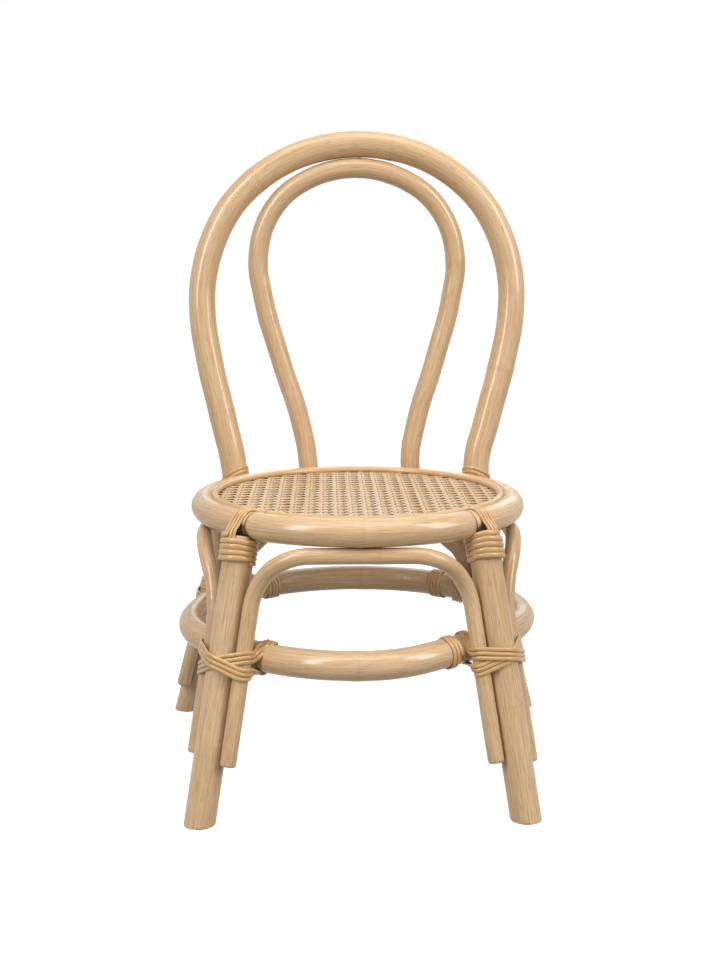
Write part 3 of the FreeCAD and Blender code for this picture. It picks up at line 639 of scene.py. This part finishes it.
PEEL_TONES = (0.56, 0.34, 0.145, 1), (0.68, 0.445, 0.215, 1), (0.76, 0.53, 0.29, 1)
SPLINE_TONES = (0.59, 0.37, 0.170, 1), (0.70, 0.47, 0.240, 1), (0.78, 0.55, 0.31, 1)
CANE_TONES = (0.53, 0.35, 0.175, 1), (0.66, 0.47, 0.275, 1), (0.75, 0.58, 0.375, 1)
MATERIALS = {"rattan_pole": pole_material(), "peel": peel_material("peel", *PEEL_TONES, (0.40, 0.24)),
             "spline": peel_material("spline", *SPLINE_TONES, (0.42, 0.26)),
             # The cane's strands get painted shade on their lower sides.
             "cane": peel_material("cane", *CANE_TONES, (0.45, 0.26), sides=True), "steel": steel_material()}


def finish(obj, slot, *nodes):
    obj.data.materials.clear()
    obj.data.materials.append(MATERIALS[slot])
    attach(obj, "root")
    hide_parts(*nodes)
    return obj


# ---- frame poles
def frame_pole(node, *sizes, **options):
    return finish(pole(node + "_looks", *sizes, **options), "rattan_pole", node)


HOOP_KNOT, RING_KNOT = HOOP_TOP + Vector((34, 0, -3)), Vector((-6, -160, RING_Z))
INNER_KNOTS = Vector((108, 150, 492)), Vector((-90, 145, 430))
stretcher = line_through(RING_POINTS, RING_WAYS)
frame_pole("outer_back_hoop", fixed_line(HOOP_POINTS), HOOP_R, 1, 44, 230.0, [HOOP_KNOT], floor=True)
frame_pole("inner_back_hoop", fixed_line(INNER_POINTS), INNER_R, 2, 36, 230.0, INNER_KNOTS)
frame_pole("stretcher_ring", stretcher, RING_R, 3, 40, 240.0, [RING_KNOT])
frame_pole("arch_front", arch_line(front_foot(LEFT, ARCH_FRONT_END, ARCH_HIP, -LEFT, ARCH_TUCK), 0,
                                   front_foot(RIGHT, ARCH_FRONT_END, ARCH_HIP, -RIGHT, ARCH_IN_TUCK)),
           ARCH_R, 4, 32, 220.0)
for side, name in SIDES:
    frame_pole("arch_" + name, side_arch_line(side), ARCH_R, 6 + side, 32, 220.0)

LEG_OVERLAP, SADDLE_STEP = 4.0, 0.4


def front_leg(side, name):
    """A front leg, whose top is lowered wherever it would run into the seat ring."""
    way = front_way(side)
    line = resample([front_axis(side, 0) - way * FLOOR_OVERRUN, front_axis(side, LEG_TOP_Z + LEG_OVERLAP)])
    obj = pole("front_leg_%s_looks" % name, line, LEG_R, 9 + side, 44, 190.0, floor=True)
    for vertex in obj.data.vertices:
        point = vertex.co / MM
        while hypot(hypot(point.x, point.y) - SEAT_RADIUS, point.z - SEAT_Z) < SEAT_R + SEAT_GAP:
            point = point - way * SADDLE_STEP
            vertex.co = point * MM
    finish(obj, "rattan_pole", "front_leg_" + name)


for side, name in SIDES:
    front_leg(side, name)

# ---- seat ring, with the ledge for the cane
LEDGE_Z, LEDGE_WALL, LEDGE_EASE = SEAT_Z + SEAT_R - 6.0, SEAT_RADIUS - 6.5, 0.4
SECTION_STEPS = 44


def seat_ring(name, start, sweep, seed, spots):
    """The ring's round section has a ledge on top of its inner side, and its ends are softly rounded."""
    wall, ledge = LEDGE_WALL - SEAT_RADIUS, LEDGE_Z - SEAT_Z
    first, last = acos(wall / SEAT_R), -pi - asin(ledge / SEAT_R)
    angles = [first + (last - first) * k / SECTION_STEPS for k in range(SECTION_STEPS + 1)]
    section = [(SEAT_R * cos(a), SEAT_R * sin(a)) for a in angles]
    section += [(wall - LEDGE_EASE, ledge), (wall, ledge + LEDGE_EASE)]
    length = radians(sweep) * SEAT_RADIUS
    steps = int(length / POLE_STEP)
    knots = knots_for(length, spots, seed, 260.0)
    # a row has its place along the ring, its inset, and one on the cut face
    ends = [(0.0, 2.2, 1.0), (0.25, 0.9, 0.0), (1.0, 0.2, 0.0)]
    rows = ends + [(POLE_STEP + (length - 2 * POLE_STEP) * j / steps, 0.0, 0.0) for j in range(steps + 1)]
    rows += [(length - s, inset, end) for s, inset, end in reversed(ends)]
    offset = seed * GRAIN_SHIFT
    points = []
    for s, inset, end in rows:
        turn = start + degrees(s / SEAT_RADIUS)
        for x, z in section:
            a = atan2(z, x)
            swell, mark = knot_form([s - knot - 0.8 * cos(a) for knot in knots], 0.5, 0.28, 1.1, 1.3)
            scale = 1 - inset / SEAT_R
            if x >= wall - 0.1 or z <= ledge - 1.5:  # off the ledge
                scale = (1 + unevenness(a, s, offset) + swell * 0.07) * scale
            place = around(SEAT_RADIUS + x * scale, turn, SEAT_Z + z * scale)
            points.append((place, (x * MM, z * MM, s * MM + offset), mark, end))
    n = len(section)
    faces = tube_faces(len(rows), n, flip=True)
    for j, order in ((0, 1), (len(rows) - 1, -1)):
        faces += [(j * n + k, j * n + (k + 1) % n, len(points))[::order] for k in range(n)]
        centre = around(SEAT_RADIUS, start + degrees(rows[j][0] / SEAT_RADIUS), SEAT_Z)
        points.append((centre, (0.0, 0.0, offset), 0.0, 1.0))
    return new_object(name, points, faces, "grain", "knot", "cap")


JOINT = degrees(0.5 / SEAT_RADIUS)
seat_circle = [around(SEAT_RADIUS, i * 0.9, SEAT_Z) for i in range(400)]
for name, start, sweep, seed, spots in (("front", -40, 80, 11, (101.0,)), ("rear", 40, 280, 12, ())):
    obj = seat_ring("seat_ring_%s_looks" % name, start + JOINT, sweep - 2 * JOINT, seed, spots)
    MADE.append((obj, "seat_ring", seat_circle, SEAT_R))
    finish(obj, "rattan_pole", "seat_ring_" + name)
# Paints shade into the seams where poles meet.
paint_contact_shade()

# ---- spline ring, with a groove at its butt
SPLINE_OUT, SPLINE_WIDTH, SPLINE_HEIGHT, SPLINE_LIFT = LEDGE_WALL - SEAT_GAP, 6.6, 5.2, 1.5
SPLINE_START, SPLINE_BUTT, BUTT_HALF, BUTT_DEPTH = -37.5, 137.5, 0.25, 0.9
SPLINE_STEPS, DOME_STEPS = 360, 14
gap = degrees(SEAT_GAP / SPLINE_OUT)
turns = [SPLINE_START + gap + (360 - 2 * gap) * i / SPLINE_STEPS for i in range(SPLINE_STEPS + 1)]
turns = sorted(turns + [SPLINE_BUTT + d for d in (-0.3, -0.15, 0.15, 0.3)])
dome = [pi * k / DOME_STEPS for k in range(DOME_STEPS + 1)]
section = [(-0.47, 0.02), *((0.5 * cos(pi - a), 0.42 + 0.58 * sin(a)) for a in dome), (0.47, 0.02)]
line = [around(SPLINE_OUT - SPLINE_WIDTH / 2, turn, LEDGE_Z + SPLINE_LIFT) for turn in turns]
spline = ribbon("spline_ring_looks", line, [UP] * len(line), SPLINE_WIDTH, SPLINE_HEIGHT, 21, section, taper=0.01)
for vertex in spline.data.vertices:
    turn = degrees(atan2(vertex.co.x, -vertex.co.y))
    if abs(turn - SPLINE_BUTT) < BUTT_HALF:
        vertex.co.z -= BUTT_DEPTH * MM
finish(spline, "spline", "spline_ring")

# ---- woven cane
CANE_PITCH, CANE_REACH, CANE_PAIR, CANE_Z, CANE_STEP = 13.4, 137.6, 1.55, LEDGE_Z + 1.1, 1.1
STRAND, DIAGONAL = (2.15, 1.15), (2.1, 0.8)  # width and thickness
STRAND_WAVE, DIAGONAL_WAVE, DIAGONAL_LIFT = 0.45, 0.6, 0.1
STRAND_SECTION = ((-0.5, -0.6), (-0.5, 0.2), (-0.3, 0.5), (0.3, 0.5), (0.5, 0.2), (0.5, -0.6))


def strip(path, width, thick, seed, points, faces):
    """One flat strand of cane, added to the shared points and faces."""
    rng = random.Random(seed)
    tone = rng.uniform(-1, 1)
    width *= rng.uniform(0.88, 1.08)
    s = rng.uniform(0, 3)
    faces += tube_faces(len(path), len(STRAND_SECTION), len(points))
    for i, p in enumerate(path):
        t = (path[min(i + 1, len(path) - 1)] - path[max(i - 1, 0)]).normalized()
        side = Vector((-t.y, t.x, 0)).normalized()
        up = t.cross(side) if t.cross(side).z > 0 else -t.cross(side)
        if i:
            s += (p - path[i - 1]).length * MM
        for x, z in STRAND_SECTION:
            points.append((p + side * (x * width) + up * (z * thick), (x * width * MM, z * thick * MM, s), tone))


def chord(distance):
    """Places along the cane's chord at this distance from its middle."""
    half = sqrt(CANE_REACH ** 2 - distance ** 2)
    count = int(2 * half / CANE_STEP)
    return [-half + 2 * half * k / count for k in range(count + 1)]


def woven_cane():
    """Pairs of strands woven over and under each other both ways, and two crossing families of diagonals."""
    points, faces = [], []
    seed = 100
    drift = random.Random(17)
    lines = [(i + 0.5) * CANE_PITCH + part * CANE_PAIR + drift.uniform(-0.2, 0.2)
             for i in range(-11, 12) for part in (-1, 1)]
    for which, c in enumerate(lines):
        if abs(c) > CANE_REACH - 3:
            continue
        parity = 1 if which % 2 else -1
        for upright in (True, False):
            path = []
            for t in chord(c):
                d = ((t / CANE_PITCH) % 1.0 - 0.5) * CANE_PITCH
                z = 0.0
                if abs(d) < 2 * CANE_PAIR:
                    wave = STRAND_WAVE if upright else -STRAND_WAVE
                    z = sin(pi * d / (2 * CANE_PAIR)) * parity * wave
                off = c + 0.10 * noise.noise(Vector((t / 9.0, c, 5.0 if upright else 8.0)))
                path.append(Vector((off, t, CANE_Z + z) if upright else (t, off, CANE_Z + z)))
            seed += 1
            strip(path, *STRAND, seed, points, faces)
    for family in (1, -1):
        for k in range(-14, 15):
            c = (k + 0.5) * CANE_PITCH
            d = abs(c) / sqrt(2)
            if d > CANE_REACH - 4:
                continue
            path = []
            for t in chord(d):
                x = c / 2 + t / sqrt(2)
                z = DIAGONAL_WAVE * cos(2 * pi * (x - 0.5 * CANE_PITCH) / CANE_PITCH) * family
                path.append(Vector((x, (x - c) * family, CANE_Z + z + DIAGONAL_LIFT)))
            seed += 1
            strip(path, *DIAGONAL, seed, points, faces)
    return new_object("cane_looks", points, faces, "grain", "tint")


finish(woven_cane(), "cane", "cane_panel")


# ---- ties of peel
def tie_frame(way, turn):
    v = across(way, turn)
    return v.cross(way).normalized(), v


def outer_touch(first, second):
    """The angle at which a line that touches both circles touches the first one."""
    x0, y0, r0 = first
    x1, y1, r1 = second
    return atan2(y1 - y0, x1 - x0) % (2 * pi) - acos((r0 - r1) / hypot(x1 - x0, y1 - y0))


def taut_loop(circles, grow):
    """The stations of a taut loop round one or more circles: x, y and the angle on the circle."""
    if len(circles) == 1:
        x, y, r = circles[0]
        r += grow
        return [(x + r * cos(a), y + r * sin(a), a) for a in (0, pi / 2, pi, 1.5 * pi)]
    stations = []
    angles = [outer_touch(circle, circles[(i + 1) % len(circles)]) for i, circle in enumerate(circles)]
    for i, (x, y, r) in enumerate(circles):
        r += grow
        turn = (angles[i] - angles[i - 1]) % (2 * pi)
        pieces = 2 if turn > pi / 2 else 1
        for k in range(pieces + 1):
            a = angles[i - 1] + turn * k / pieces
            stations.append((x + r * cos(a), y + r * sin(a), a))
    return stations


def flat_stations(origin, u, v, circles, grow):
    n = u.cross(v).normalized()
    return [(origin + u * x + v * y, v * cos(a) - u * sin(a), n, u * cos(a) + v * sin(a))
            for x, y, a in taut_loop(circles, grow)]


def round_stations(origin, way, turn, radius, tilt, grow):
    """Stations of a loop round one pole, whose outer side is raised or lowered by the tilt."""
    u, v = tie_frame(way, turn)
    rise = tan(radians(tilt))
    stations = []
    for k in range(8):
        a = k * pi / 4
        out = u * cos(a) + v * sin(a)
        spot = origin + out * (radius + grow) + way * (rise * (radius * sin(a)))
        along = (v * cos(a) - u * sin(a) + way * (rise * cos(a))).normalized()
        flank = out.cross(along).normalized()
        stations.append((spot, along, flank if flank.dot(way) > 0 else -flank, out))
    return stations


def placed(spec, direction):
    radius, spacing, tuck = spec
    a = radians(tuck)
    return (direction * spacing * cos(a), -spacing * sin(a), radius)


# How far a tie's strand stands off the poles and the ring, and how its route bends.
TIE_END, TIE_TOUCH, TIE_RING, TIE_TIP = 0.3, 0.15, 0.5, radians(15.0)
RING_STEPS, EVEN_SHARE, RING_LIFT_SHARE = 4, 0.3, 0.6


def crossed_stations(leg_at, near, far, reaches, lean, drop, tube, sign, lift):
    """Stations of a lashing that slants over the poles in front and comes back behind the stretcher ring."""
    joint, way, turn, leg = leg_at
    u, v = tie_frame(way, turn)
    slope = -sign * tan(radians(lean))
    reach, shift = (reaches[0] + reaches[1]) / 2, (reaches[1] - reaches[0]) / 2
    centre, near, far = (0, 0, leg), placed(near, 1), placed(far, -1)
    first, second = outer_touch(near, centre), outer_touch(centre, far)
    stations = []
    touch = TIE_TOUCH + lift
    for (x, y, r), a, grow in ((near, -TIE_TIP, TIE_END), (near, first, touch), (centre, first, touch),
                               (centre, second, touch), (far, second, touch), (far, pi + TIE_TIP, TIE_END)):
        x, y = x + (r + grow) * cos(a), y + (r + grow) * sin(a)
        out = u * cos(a) + v * sin(a)
        along = (v * cos(a) - (u + way * slope) * sin(a)).normalized()
        spot = joint + u * x + v * y + way * (slope * x - drop)
        stations.append((spot, along, out.cross(along).normalized(), out))
    axis, even = -(leg + RING_R + SEAT_GAP), reach * 2 / pi
    for k in range(RING_STEPS + 1):
        a = k * pi / RING_STEPS
        ring = tube + TIE_RING + (lift * RING_LIFT_SHARE if 0 < k < RING_STEPS else 0.0)
        x = (even * a - reach) * EVEN_SHARE - reach * cos(a) * (1 - EVEN_SHARE) + shift
        rate = even * EVEN_SHARE + reach * sin(a) * (1 - EVEN_SHARE)
        bow = x ** 2 / (2 * RING_RADIUS)
        spot = joint + u * x + v * (axis - bow - ring * sin(a)) + way * (sign * ring * cos(a))
        out = way * (sign * cos(a)) - v * sin(a)
        along = u * rate - way * (sign * ring * sin(a)) - v * (ring * cos(a) + x / RING_RADIUS * rate)
        along.normalize()
        stations.append((spot, along, out.cross(along).normalized(), out))
    full = []
    for k, station in enumerate(stations):
        full.append(station)
        if k in (5, len(stations) - 1):  # halfway between the poles and the ring
            after = stations[(k + 1) % len(stations)]
            full.append((station[0].lerp(after[0], 0.5), (after[0] - station[0]).normalized(),
                         (station[2] + after[2]).normalized(), (station[3] + after[3]).normalized()))
    return full


def wind(node, stations, turns, pitch, width, height, seed):
    """A ribbon that follows the stations round and round, each turn beside the last."""
    count = len(stations)
    rng = random.Random(seed)
    jitter = [rng.uniform(-0.16, 0.16) for _ in range(count * 8)]
    points, ways, outs = [], [], []
    for k in range(int(turns * count) + 1):
        point, way, flank, out = stations[k % count]
        points.append(point + flank * (pitch * (k / count - turns / 2) + jitter[k]))
        ways.append((way + flank * (pitch / 120.0)).normalized())
        outs.append(out)
    return ribbon(node + "_looks", *along_biarcs(points, ways, outs, PEEL_STEP), width, height, seed)


ARCH_POLE, ARCH_IN_POLE = (ARCH_R, ARCH_FRONT_SPACING, ARCH_TUCK), (ARCH_R, ARCH_FRONT_SPACING, ARCH_IN_TUCK)
ARCH_REAR_POLE, INNER_POLE = (ARCH_R, ARCH_REAR_SPACING, ARCH_TUCK), (INNER_R, INNER_SPACING, INNER_TUCK)


def lash(name, side, near, far, seeds, reaches, leans, drops, tube=RING_R):
    """The two crossed ties of one leg, the under one first."""
    leg_at = leg_facts(side, name.startswith("front"))
    for label, sign, lift, seed, *form in zip(("under", "over"), (1, -1), (0.0, 1.7), seeds, reaches, leans, drops):
        stations = crossed_stations(leg_at, near, far, *form, tube, sign, lift)
        node = "lashing_" + name + "_" + label
        finish(wind(node, stations, 2.75, 4.0, 3.75, 1.7, seed), "peel", node)


REAR_TIE_REACHES, RIGHT_TIE_REACHES = ((21.0, 21.0),) * 2, ((18.0, 15.0),) * 2
lash("front_left", LEFT, ARCH_POLE, ARCH_POLE, (31, 30), ((27.0, 20.0), (17.0, 18.0)), (19.0, 16.0), (8.0, 5.3),
     RING_R + 1.0)
lash("front_right", RIGHT, ARCH_IN_POLE, ARCH_POLE, (33, 32), RIGHT_TIE_REACHES, (15.0, 15.0), (9.0, 9.0))
lash("rear_left", LEFT, INNER_POLE, ARCH_REAR_POLE, (35, 34), REAR_TIE_REACHES, (16.0, 16.0), (5.0, 5.0))
lash("rear_right", RIGHT, ARCH_REAR_POLE, INNER_POLE, (37, 36), REAR_TIE_REACHES, (16.0, 16.0), (5.0, 5.0))


# ---- collars round the stretcher ring
def ring_collar(name, leg_turn, offset, turns):
    place = leg_turn + degrees(offset / RING_RADIUS)
    towards = [Vector((p.x, p.y, 0)).normalized().dot(radial(place)) for p in stretcher[1:-1]]
    best = 1 + towards.index(max(towards))
    way = (stretcher[best + 1] - stretcher[best - 1]).normalized()
    u, v = tie_frame(way, place)
    stations = flat_stations(stretcher[best], u, v, [(0, 0, RING_R)], 0.3)
    node = "collar_" + name
    finish(wind(node, stations, turns, 3.9, 3.6, 1.6, 50 + len(name) + int(leg_turn)), "peel", node)


ring_collar("front_left", front_turn(LEFT), 23.0, 1.25)
ring_collar("front_right", front_turn(RIGHT), -37.5, 2.25)
ring_collar("rear_left", -REAR_TURN, -43.5, 4.25)
ring_collar("rear_right", REAR_TURN, 43.5, 4.25)

# ---- ties at the seat ring
WINDING_TURNS, WINDING_PITCH, WINDING_HEIGHT, WINDING_DROP = 4.75, 4.0, 2.4, 2.2
WINDING_SPREAD, WINDING_RISE, WINDING_LIFT, WINDING_TILT = 0.26, 3.4, 0.4, {LEFT: -0.06, RIGHT: 0.2}
STRAP_PITCH, STRAP_LOW, STRAP_RISE, STRAP_LEANS = 3.4, 13.0, 17.0, (35.0, 90.0, 113.0)
STRAP_LEG_GAP, STRAP_SEAT_GAP, HOOP_COLLAR_UP, HOOP_COLLAR_TILT = 0.3, 0.35, 5.2, -28.0


def leg_winding(side, name):
    """The winding at the top of a front leg, whose turns rise and spread towards the front."""
    way = front_way(side)
    u, v = tie_frame(way, front_turn(side))
    centre = front_axis(side, LEG_TOP_Z) - way * (WINDING_DROP + WINDING_TURNS * WINDING_PITCH / 2)
    stations = flat_stations(centre, u, v, [(0, 0, LEG_R), (0, 1.7, LEG_R)], 0.25)
    node = "leg_winding_" + name
    winding = wind(node, stations, WINDING_TURNS, WINDING_PITCH, 4.1, WINDING_HEIGHT, 70 + side)
    for vertex in winding.data.vertices:
        point = vertex.co / MM - centre
        front = max(0.0, min(1.0, (point.dot(v) + LEG_R) / (2 * LEG_R)))
        rise = WINDING_SPREAD * point.dot(way) * front + WINDING_RISE * front + WINDING_LIFT
        vertex.co = (vertex.co / MM + way * (rise + WINDING_TILT[side] * point.dot(u))) * MM
    finish(winding, "peel", node)


def leg_straps(side, name):
    """Four strands that run up the outside of a front leg and over the seat ring."""
    way, middle = front_way(side), front_turn(side)
    base = across(way, middle)
    strands = []
    for k in range(4):
        shift = (k - 1.5) * STRAP_PITCH
        turn = middle + (k - 1.5) * degrees(STRAP_PITCH / SEAT_RADIUS)
        stand = sqrt((LEG_R + STRAP_LEG_GAP) ** 2 - shift ** 2)
        low = front_axis(side, LEG_TOP_Z - STRAP_LOW) + base * stand + sideways(middle) * shift
        points, ways, outs = [low, low + way * STRAP_RISE], [way, way], [base, base]
        for lean in STRAP_LEANS:
            a, r = radians(lean), SEAT_R + STRAP_SEAT_GAP
            points.append(around(SEAT_RADIUS + r * cos(a), turn, SEAT_Z + r * sin(a)))
            ways.append(radial(turn) * -sin(a) + UP * cos(a))
            outs.append(radial(turn) * cos(a) + UP * sin(a))
        strands.append(ribbon("strap", *along_biarcs(points, ways, outs), 3.15, 1.7, 80 + k + 5 * side, taper=0.5))
    finish(join("leg_straps_%s_looks" % name, strands), "peel", "leg_straps_" + name)


def hoop_collar(side, name):
    contact, above = HOOP_SIDES[side][3:5]
    way = (above - contact).normalized()
    stations = round_stations(contact + way * HOOP_COLLAR_UP, way, side * HOOP_TURN, HOOP_R, HOOP_COLLAR_TILT, 0.2)
    node = "hoop_collar_" + name
    finish(wind(node, stations, 2.25, 3.8, 3.7, 1.3, 90 + side), "peel", node)


for side, name in SIDES:
    leg_winding(side, name)
    leg_straps(side, name)
    hoop_collar(side, name)

# ---- screws: domed heads with a cross slot
HEAD_R, SHANK_R, SLOT_HALF, SLOT_REACH, SLOT_DEPTH = 3.2, 1.5, 0.35, 2.5, 0.55
HEAD = ((0.9, -0.72), (1.6, -0.6), (2.4, -0.3), (3.0, 0.15), (HEAD_R, 0.5), (HEAD_R, 2.0), (SHANK_R, 2.0))


def screw_heads(node, places, length):
    bm = bmesh.new()
    count = 24
    for point, way in places:
        u = way.orthogonal().normalized()
        v = way.cross(u)
        rings = []
        for r, h in HEAD + ((SHANK_R, length),):
            rings.append([])
            for k in range(count):
                a = 2 * pi * k / count
                c, n = cos(a), sin(a)
                slotted = h < 0.0 and min(abs(c), abs(n)) * r < SLOT_HALF and r < SLOT_REACH
                depth = h + SLOT_DEPTH if slotted else h
                rings[-1].append(bm.verts.new((point + (u * c + v * n) * r + way * depth) * MM))
        centre = bm.verts.new((point + way * (-0.2)) * MM)
        for k in range(count):
            bm.faces.new((rings[0][(k + 1) % count], rings[0][k], centre))
        for a, b in zip(rings, rings[1:]):
            for k in range(count):
                bm.faces.new((a[k], a[(k + 1) % count], b[(k + 1) % count], b[k]))
        bm.faces.new(rings[-1])
    bmesh.ops.recalc_face_normals(bm, faces=bm.faces)
    mesh = bpy.data.meshes.new(node + "_looks")
    bm.to_mesh(mesh)
    bm.free()
    finish(link_object(node + "_looks", mesh), "steel", node)


def hoop_places(contacts, radius):
    """Places of screws through a hoop into the seat ring, at their contacts."""
    ways = [Vector((-contact.x, -contact.y, 0)).normalized() for contact in contacts]
    return [(contact - way * (radius - SUNK / radius), way) for contact, way in zip(contacts, ways)]


def ring_place(joint, way, turn, leg):
    out = across(way, turn)
    return joint - out * (leg + RING_R + SEAT_GAP) - out * (RING_R - SUNK / RING_R), out


SUNK = (2 * HEAD_R) ** 2 / 8  # divided by a pole's radius, how deep the head sits in it
screw_heads("leg_screws", [(around(SEAT_RADIUS + 2.5, front_turn(side), SEAT_Z + SEAT_R - 0.9), UP * -1)
                           for side in (LEFT, RIGHT)], 42.0)
screw_heads("hoop_screws", hoop_places([HOOP_SIDES[side][3] for side in (LEFT, RIGHT)], HOOP_R), 45.0)
screw_heads("inner_hoop_screws", hoop_places([INNER_SIDES[side][4] for side in (LEFT, RIGHT)], INNER_R), 36.0)
top = INNER_TOP + Vector((HOOP_SWAY - INNER_TOP_SHIFT, 0, SUNK / INNER_R - INNER_R))
screw_heads("hoop_top_screw", [(top, UP)], 40.0)
screw_heads("arch_nails", [(around(SEAT_RADIUS, turn, ARCH_Z - ARCH_R + SUNK / ARCH_R), UP)
                           for turn in (0, -90, 90)], 26.0)
screw_heads("stretcher_screws", [ring_place(*leg_facts(side, front))
                                 for side in (LEFT, RIGHT) for front in (True, False)], 40.0)

# ---- floor, world and lights, in metres
floor_mesh = bpy.data.meshes.new("floor")
floor_mesh.from_pydata([(-6, -6, 0), (6, -6, 0), (6, 8, 0), (-6, 8, 0)], [], [(0, 1, 2, 3)])
floor_material, tree, shader = nodes_of("floor")
fill(tree, shader, {"Base Color": (0.27, 0.255, 0.23, 1), "Roughness": 0.9, "Specular IOR Level": 0.1,
                    "Emission Color": WHITE,
                    "Emission Strength": maths(tree, "MULTIPLY", background_rays(tree), 0.91)})
floor_mesh.materials.append(floor_material)
floor = link_object("floor", floor_mesh)

world = bpy.data.worlds.new("studio")
SCENE.world = world
world.use_nodes = True
tree = world.node_tree
tree.nodes.clear()
white = add(tree, "Background", {"Color": WHITE, "Strength": 1.0})
soft = add(tree, "Background", {"Color": (1.0, 0.975, 0.93, 1), "Strength": 0.31})
blend = add(tree, "MixShader", {0: background_rays(tree), 1: soft.outputs[0], 2: white.outputs[0]})
add(tree, "OutputWorld", {0: blend.outputs[0]})


def area(name, place, aim, size, power, colour):
    light = bpy.data.lights.new(name, "AREA")
    light.shape = "RECTANGLE"
    light.size, light.size_y = size
    light.energy = power
    light.color = colour
    obj = link_object(name, light)
    obj.location = place
    obj.rotation_euler = (Vector(aim) - Vector(place)).to_track_quat("-Z", "Y").to_euler()


LAMP = (1.0, 0.99, 0.98)
area("left_strip", (-1.30, -1.35, 1.55), (0, 0, 0.50), (0.50, 1.6), 29.0, LAMP)
area("right_strip", (1.65, -1.0, 1.55), (0, 0, 0.50), (0.65, 1.6), 31.0, LAMP)
area("top", (0.0, -0.4, 2.3), (0, 0, 0.3), (1.7, 1.4), 18.5, (1.0, 0.99, 0.97))
area("back", (0.3, 1.9, 1.3), (0, 0, 0.3), (1.7, 1.2), 8.0, LAMP)

# ---- camera, fitted to the photograph
FOCAL_PIXELS, PHOTO_WIDTH_PIXELS, SENSOR_WIDTH = 1292.62, 720.0, 36.0
EYE, VIEW_WAY = Vector((-31.82, -1233.76, 487.44)), Vector((0.0273, 0.9860, -0.1644))
camera_data = bpy.data.cameras.new("camera")
camera_data.sensor_fit = "HORIZONTAL"
camera_data.sensor_width = SENSOR_WIDTH
camera_data.lens = FOCAL_PIXELS * SENSOR_WIDTH / PHOTO_WIDTH_PIXELS
camera = link_object("camera", camera_data)
forward = VIEW_WAY.normalized()
right = forward.cross(UP).normalized()
axes = Matrix((right, right.cross(forward), -forward)).transposed()
camera.matrix_world = Matrix.Translation(EYE * MM) @ axes.to_4x4()
SCENE.camera = camera
SCENE.view_settings.view_transform = "Standard"
